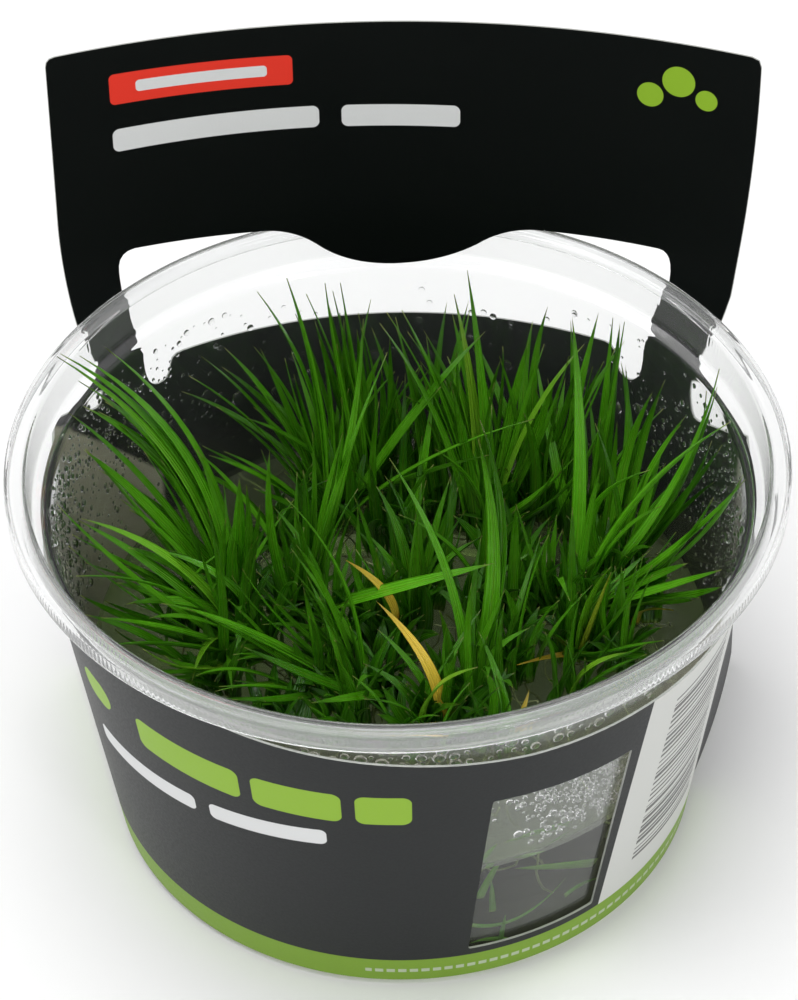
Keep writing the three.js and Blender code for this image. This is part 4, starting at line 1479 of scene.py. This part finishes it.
def thicket(rng, tuft):
    """Short blades close to the crowns. Their dark tone is painted shade for the depth between the
    long ones.
    """
    made = []
    for crown, (foot_x, foot_y) in enumerate(tuft["crowns"]):
        for _ in range(THICKET):
            heading, reach = rng.uniform(0, 2 * math.pi), rng.uniform(*THICKET_REACH)
            x = foot_x + reach * math.cos(heading)
            y = foot_y + reach * math.sin(heading)
            z = CROWN_HEIGHT + rng.uniform(*THICKET_RISE)
            bend, width = (rng.uniform(0, 1.5), rng.normal(0, 0.5)), rng.uniform(1.7, 2.5)
            # The low tone, 0 to 0.25, gives these blades the deep green as painted shade.
            made.append(Blade(crown, x, y, z, *bend, width, 0.25 * rng.random()))
    return made


# %% [markdown]
# Now each tuft is planted. A point is made for each blade, it gets the blade's arc and look as
# attributes, and the blade tree does the rest. The further blades are also spread a little round
# their crown, as real ones grow.

# %% Plant the tufts
WIDER = 1.1
CROWN_SPREAD = 3.4


def plant(name, arcs, looks, rng):
    """Blades along their arcs, made by the blade tree. A look is (width, tone, dead)."""
    layout = make_piece(name, [arc[0] for arc in arcs], [])
    for label, values in zip(("root", "reach", "lift", "side"), zip(*arcs)):
        scaled = np.array(values, float) * (1 if label == "side" else MM)
        stored = layout.data.attributes.new(label, "FLOAT_VECTOR", "POINT")
        stored.data.foreach_set("vector", scaled.ravel())
    widths, tones, deads = zip(*looks)
    numbers = {
        "width": [width * WIDER * MM for width in widths],
        "fold": rng.uniform(0.15, 0.6, len(arcs)),
        "twist": rng.normal(0, 0.5, len(arcs)),
        "tone": tones,
        "dead": deads,
    }
    for label, values in numbers.items():
        stored = layout.data.attributes.new(label, "FLOAT", "POINT")
        stored.data.foreach_set("value", np.array(values, float))
    add_tree(layout, blades, Thickness=BLADE_THICKNESS, Finish=leaf_finish)
    return applied(layout)


def grow(name, tuft, seed):
    """One tuft's blades as a piece."""
    rng = np.random.default_rng(seed)
    grown = known_blades(name)
    arcs = [arc_of(blade, tuft["crowns"]) for blade in grown]
    for blade in companions(rng, tuft) + filling_blades(rng, tuft) + thicket(rng, tuft):
        turn, spread = rng.uniform(0, 2 * math.pi), CROWN_SPREAD * math.sqrt(rng.uniform(0, 1))
        arc = arc_of(blade, tuft["crowns"], (math.cos(turn) * spread, math.sin(turn) * spread))
        if not hides_known(arc):
            arcs.append(arc)
            grown.append(blade)
    looks = [(blade.width, blade.tone, blade.dead) for blade in grown]
    dress(plant(f"leaves_{name}", arcs, looks, rng), "leaf", f"tuft_{name}")


for seed, (name, tuft) in enumerate(TUFTS.items()):
    grow(name, tuft, seed)

# %% [markdown]
# ## Roots and sunken blades
#
# Under each crown white roots wander down through the gel, and a few old blades hang in it near the
# window. A root is a path with a round section. The paths are short chains of edges, each step
# turned a little from the last, and a geometry tree gives them their thickness with Curve to Mesh.
# The sunken blades come from the blade tree.

# %% Roots
ROOT_STEPS = 9
ROOT_STEP = 2.1
ROOT_SCATTER, ROOT_LEAN, ROOT_WANDER = 0.8, 0.6, 0.3
ROOT_RADIUS = 0.00014
ROOTS_PER_CROWN = 4
ROOT_SEED = 11


def root_finish():
    """Pale, slightly green roots."""
    material, tree, shader = new_material("roots")
    cloud = noise(tree, coordinates(tree), 300.0)
    colour = blend_colours(tree, cloud, (0.3, 0.34, 0.18), (0.5, 0.52, 0.34))
    set_inputs(tree, shader, Base_Color=colour, Roughness=cloud.ramp(0.3, 0.7, 0.4, 0.6))
    return material


def root_tree():
    """Turns chains of edges into round roots."""
    inputs = [
        ("Paths", "NodeSocketGeometry", None),
        ("Radius", "NodeSocketFloat", ROOT_RADIUS),
        ("Finish", "NodeSocketMaterial", None),
    ]
    outputs = [("Roots", "NodeSocketGeometry")]
    tree, given, end = new_group("roots", "GeometryNodeTree", inputs, outputs)
    curve = node(tree, "GeometryNodeMeshToCurve", {0: given["Paths"]})
    sizes = {"Resolution": 6, "Radius": given["Radius"]}
    section = node(tree, "GeometryNodeCurvePrimitiveCircle", sizes)
    parts = {"Curve": curve.outputs[0], "Profile Curve": section.outputs[0], "Fill Caps": True}
    tube = node(tree, "GeometryNodeCurveToMesh", parts)
    real = node(tree, "GeometryNodeRealizeInstances", {0: tube.outputs[0]})
    finish_tree(tree, real.outputs[0], given, end)
    return tree


def root_paths(rng):
    """Chains that wander down from each crown and stay in the gel."""
    points, edges = [], []
    for crown in [crown for tuft in TUFTS.values() for crown in tuft["crowns"]]:
        for _ in range(ROOTS_PER_CROWN):
            spot = Vector((*crown, CROWN_HEIGHT - 2)) + Vector(rng.normal(0, 1, 3)) * ROOT_SCATTER
            way = Vector((*rng.normal(0, ROOT_LEAN, 2), -1)).normalized()
            for step in range(ROOT_STEPS):
                if step:
                    edges.append((len(points) - 1, len(points)))
                points.append(spot.copy())
                way = (way + Vector(rng.normal(0, ROOT_WANDER, 3))).normalized()
                spot = spot + way * ROOT_STEP
                spot.z = min(max(spot.z, 2), GEL_TOP - 1)
                spot.xy *= min(1, (wall_inner(spot.z) - 1.5) / max(spot.xy.length, 1))
    return points, edges


paths, links = root_paths(np.random.default_rng(ROOT_SEED))
roots = make_piece("roots", paths, [], edges=links)
add_tree(roots, root_tree(), Radius=ROOT_RADIUS, Finish=root_finish())
applied(roots)
dress(roots, "leaf")

# %% [markdown]
# The sunken blades in the window were measured there. Each row has the azimuth, the radius and the
# height of the blade's root, the same three of its tip, the lift of its middle, and its width.

# %% Sunken blades
SUNKEN_SEED = 23
TOWARDS_WINDOW = Vector((0.3, -1, 0.2))
SUNKEN = [
    (13.8, 36.5, 15, 17.8, 37.5, 23, 0.6, 1.1),
    (16.6, 36.5, 11.5, 15.9, 37, 18.5, 0.2, 0.9),
    (12.5, 36.5, 9.5, 31.5, 37, 13.5, -3.0, 0.7),
    (18.3, 37, 5, 18.9, 37.5, 10.5, 0.3, 0.7),
    (21, 37, 3.6, 12.1, 36, 5.3, 1.0, 1.0),
    (41, 33, 11.5, 21, 35, 18.8, 0.3, 1.3),
    (33, 35, 8.6, 42, 33, 7.6, 0.6, 1.0),
]


def sink_blades(rng):
    """The few old blades that hang in the gel."""
    arcs, looks = [], []
    for azimuth, radius, z, tip_azimuth, tip_radius, tip_z, lift, width in SUNKEN:
        root = Vector(around(math.radians(azimuth), radius, z))
        reach = Vector(around(math.radians(tip_azimuth), tip_radius, tip_z)) - root
        arcs.append((root, reach, Vector((0, 0, lift)), reach.cross(TOWARDS_WINDOW).normalized()))
        looks.append((width, rng.uniform(0.5, 0.9), 0.0))
    dress(plant("sunken_leaves", arcs, looks, rng), "leaf")


sink_blades(np.random.default_rng(SUNKEN_SEED))

# %% [markdown]
# ## Condensation
#
# The closed cup sweated, so beads of water sit on the inner wall. A bead is a shallow dome. Many
# small ones stand close together, and a few large ones have swallowed their neighbours. A tree
# scatters points on a patch of the wall no nearer to each other than one bead, puts a dome on each,
# and lets a wetness attribute leave some parts dry.

# %% Droplet tree
SIZE_SKEW = 2.2


def droplet_tree():
    """Scatters domes over a wall. Most of them are small."""
    inputs = [
        ("Wall", "NodeSocketGeometry", None),
        ("Spacing", "NodeSocketFloat", 0.001),
        ("Density", "NodeSocketFloat", 100000.0),
        ("Smallest", "NodeSocketFloat", 0.0002),
        ("Largest", "NodeSocketFloat", 0.0005),
        ("Dome", "NodeSocketFloat", 0.6),
        ("Seed", "NodeSocketInt", 1),
        ("Finish", "NodeSocketMaterial", None),
    ]
    outputs = [("Droplets", "NodeSocketGeometry")]
    tree, given, end = new_group("droplets", "GeometryNodeTree", inputs, outputs)
    places = {
        "Mesh": given["Wall"],
        "Distance Min": given["Spacing"],
        "Density Max": given["Density"],
        "Density Factor": named(tree, "wetness"),
        "Seed": given["Seed"],
    }
    kind = "GeometryNodeDistributePointsOnFaces"
    scattered = node(tree, kind, places, distribute_method="POISSON")
    ball = node(tree, "GeometryNodeMeshUVSphere", {"Segments": 9, "Rings": 6, "Radius": 1.0})
    x, y, z = Field(tree, node(tree, "GeometryNodeInputPosition").outputs[0]).split()
    top_half = z.math("MAXIMUM", 0.0) * given["Dome"]
    flattened = node(tree, "ShaderNodeCombineXYZ", {0: x, 1: y, 2: top_half})
    parts = {"Geometry": ball.outputs["Mesh"], "Position": flattened.outputs[0]}
    dome = node(tree, "GeometryNodeSetPosition", parts)
    chance = node(tree, "FunctionNodeRandomValue", {"Seed": given["Seed"]}, data_type="FLOAT")
    skewed = Field(tree, chance.outputs["Value"]) ** SIZE_SKEW
    size = given["Smallest"] + skewed * (given["Largest"] - given["Smallest"])
    parts = {"Points": scattered.outputs["Points"], "Instance": dome.outputs[0]}
    parts |= {"Rotation": scattered.outputs["Rotation"], "Scale": size}
    placed = node(tree, "GeometryNodeInstanceOnPoints", parts)
    real = node(tree, "GeometryNodeRealizeInstances", {0: placed.outputs[0]})
    finish_tree(tree, real.outputs[0], given, end)
    return tree


droplets = droplet_tree()
print("droplet tree:", len(droplets.nodes), "nodes")

# %% [markdown]
# A patch of wall is a coarse net of faces just inside the real wall. Each of its points holds how
# wet the wall is there, and the tree scatters its droplets by that. The wetness itself is a sum of
# soft hills by azimuth and height.

# %% Wet walls
WALL_STEP = 4.0
WALL_ROWS = 12
DROPLET_GAP = 0.02
DROPLET_DENSITY = 3e6


def wet_wall(name, azimuths, heights, wetness, seed, spacing, smallest, largest, dome=0.6):
    """Droplets on a part of the inner wall. wetness is a function of azimuth and height."""
    columns = np.arange(azimuths[0], azimuths[1] + 1, WALL_STEP)
    net = [(azimuth, z) for z in np.linspace(*heights, WALL_ROWS) for azimuth in columns]
    points = [around(math.radians(azimuth), wall_inner(z) - DROPLET_GAP, z) for azimuth, z in net]
    n = len(columns)
    quads = [(i, i + n, i + n + 1, i + 1) for i in range(len(points) - n) if i % n < n - 1]
    wall = make_piece(name, points, quads)
    stored = wall.data.attributes.new("wetness", "FLOAT", "POINT")
    stored.data.foreach_set("value", [wetness(*spot) for spot in net])
    sizes = {"Spacing": spacing * MM, "Smallest": smallest * MM, "Largest": largest * MM}
    add_tree(wall, droplets, Seed=seed, Finish=water, Density=DROPLET_DENSITY, Dome=dome, **sizes)
    applied(wall)
    dress(wall, "clear_plastic")


def hill(value, middle, width):
    """A soft bump of height 1."""
    return math.exp(-(((value - middle) / width) ** 2))


def fine_wetness(azimuth, z):
    """The walls are wettest at the left, at the back left, and at the right below the ledge."""
    left = hill(azimuth, -88, 38) * (0.35 + 0.65 * hill(z, 48, 6))
    back_left = hill(azimuth, -128, 16) * hill(z, 39, 5) * 0.7
    right = hill(azimuth, 98, 30) * hill(z, 38, 10)
    return min(1, left + back_left + right + 0.05)


def bead_wetness(azimuth, z):
    """A few beads everywhere, and rows of them high on the back wall."""
    return 0.07 + 0.5 * hill(abs(azimuth), 160, 25) * hill(z, 37.5, 3.5)


def left_wetness(azimuth, z):
    """A dense column of beads runs down the left wall."""
    return hill(azimuth, -92, 12) * (0.4 + 0.6 * hill(z, 47, 6))


def window_wetness(azimuth, z):
    """Droplets crowd together in the upper right half of the window."""
    return min(1, 2.2 * hill(azimuth, 37, 12)) * min(1, max(0, (z - 25.5) / 1.5))


def ledge_wetness(azimuth, z):
    """The strip between the band and the ledge is wet all along."""
    return 0.75


wet_wall("condensation_fine", (-180, 176), (27, 50.5), fine_wetness, 3, 0.75, 0.15, 0.5)
wet_wall("condensation_beads", (-180, 176), (28, 49.5), bead_wetness, 8, 2.6, 0.5, 1.1)
wet_wall("condensation_left", (-116, -68), (30, 50.6), left_wetness, 12, 1.0, 0.25, 0.75, 0.8)
wet_wall("condensation_ledge", (-24, 70), (46.4, 50.6), ledge_wetness, 5, 1.3, 0.3, 0.95)
wet_wall("condensation_window", (14, 50), (25.5, 39.4), window_wetness, 6, 0.62, 0.26, 0.66, 0.85)
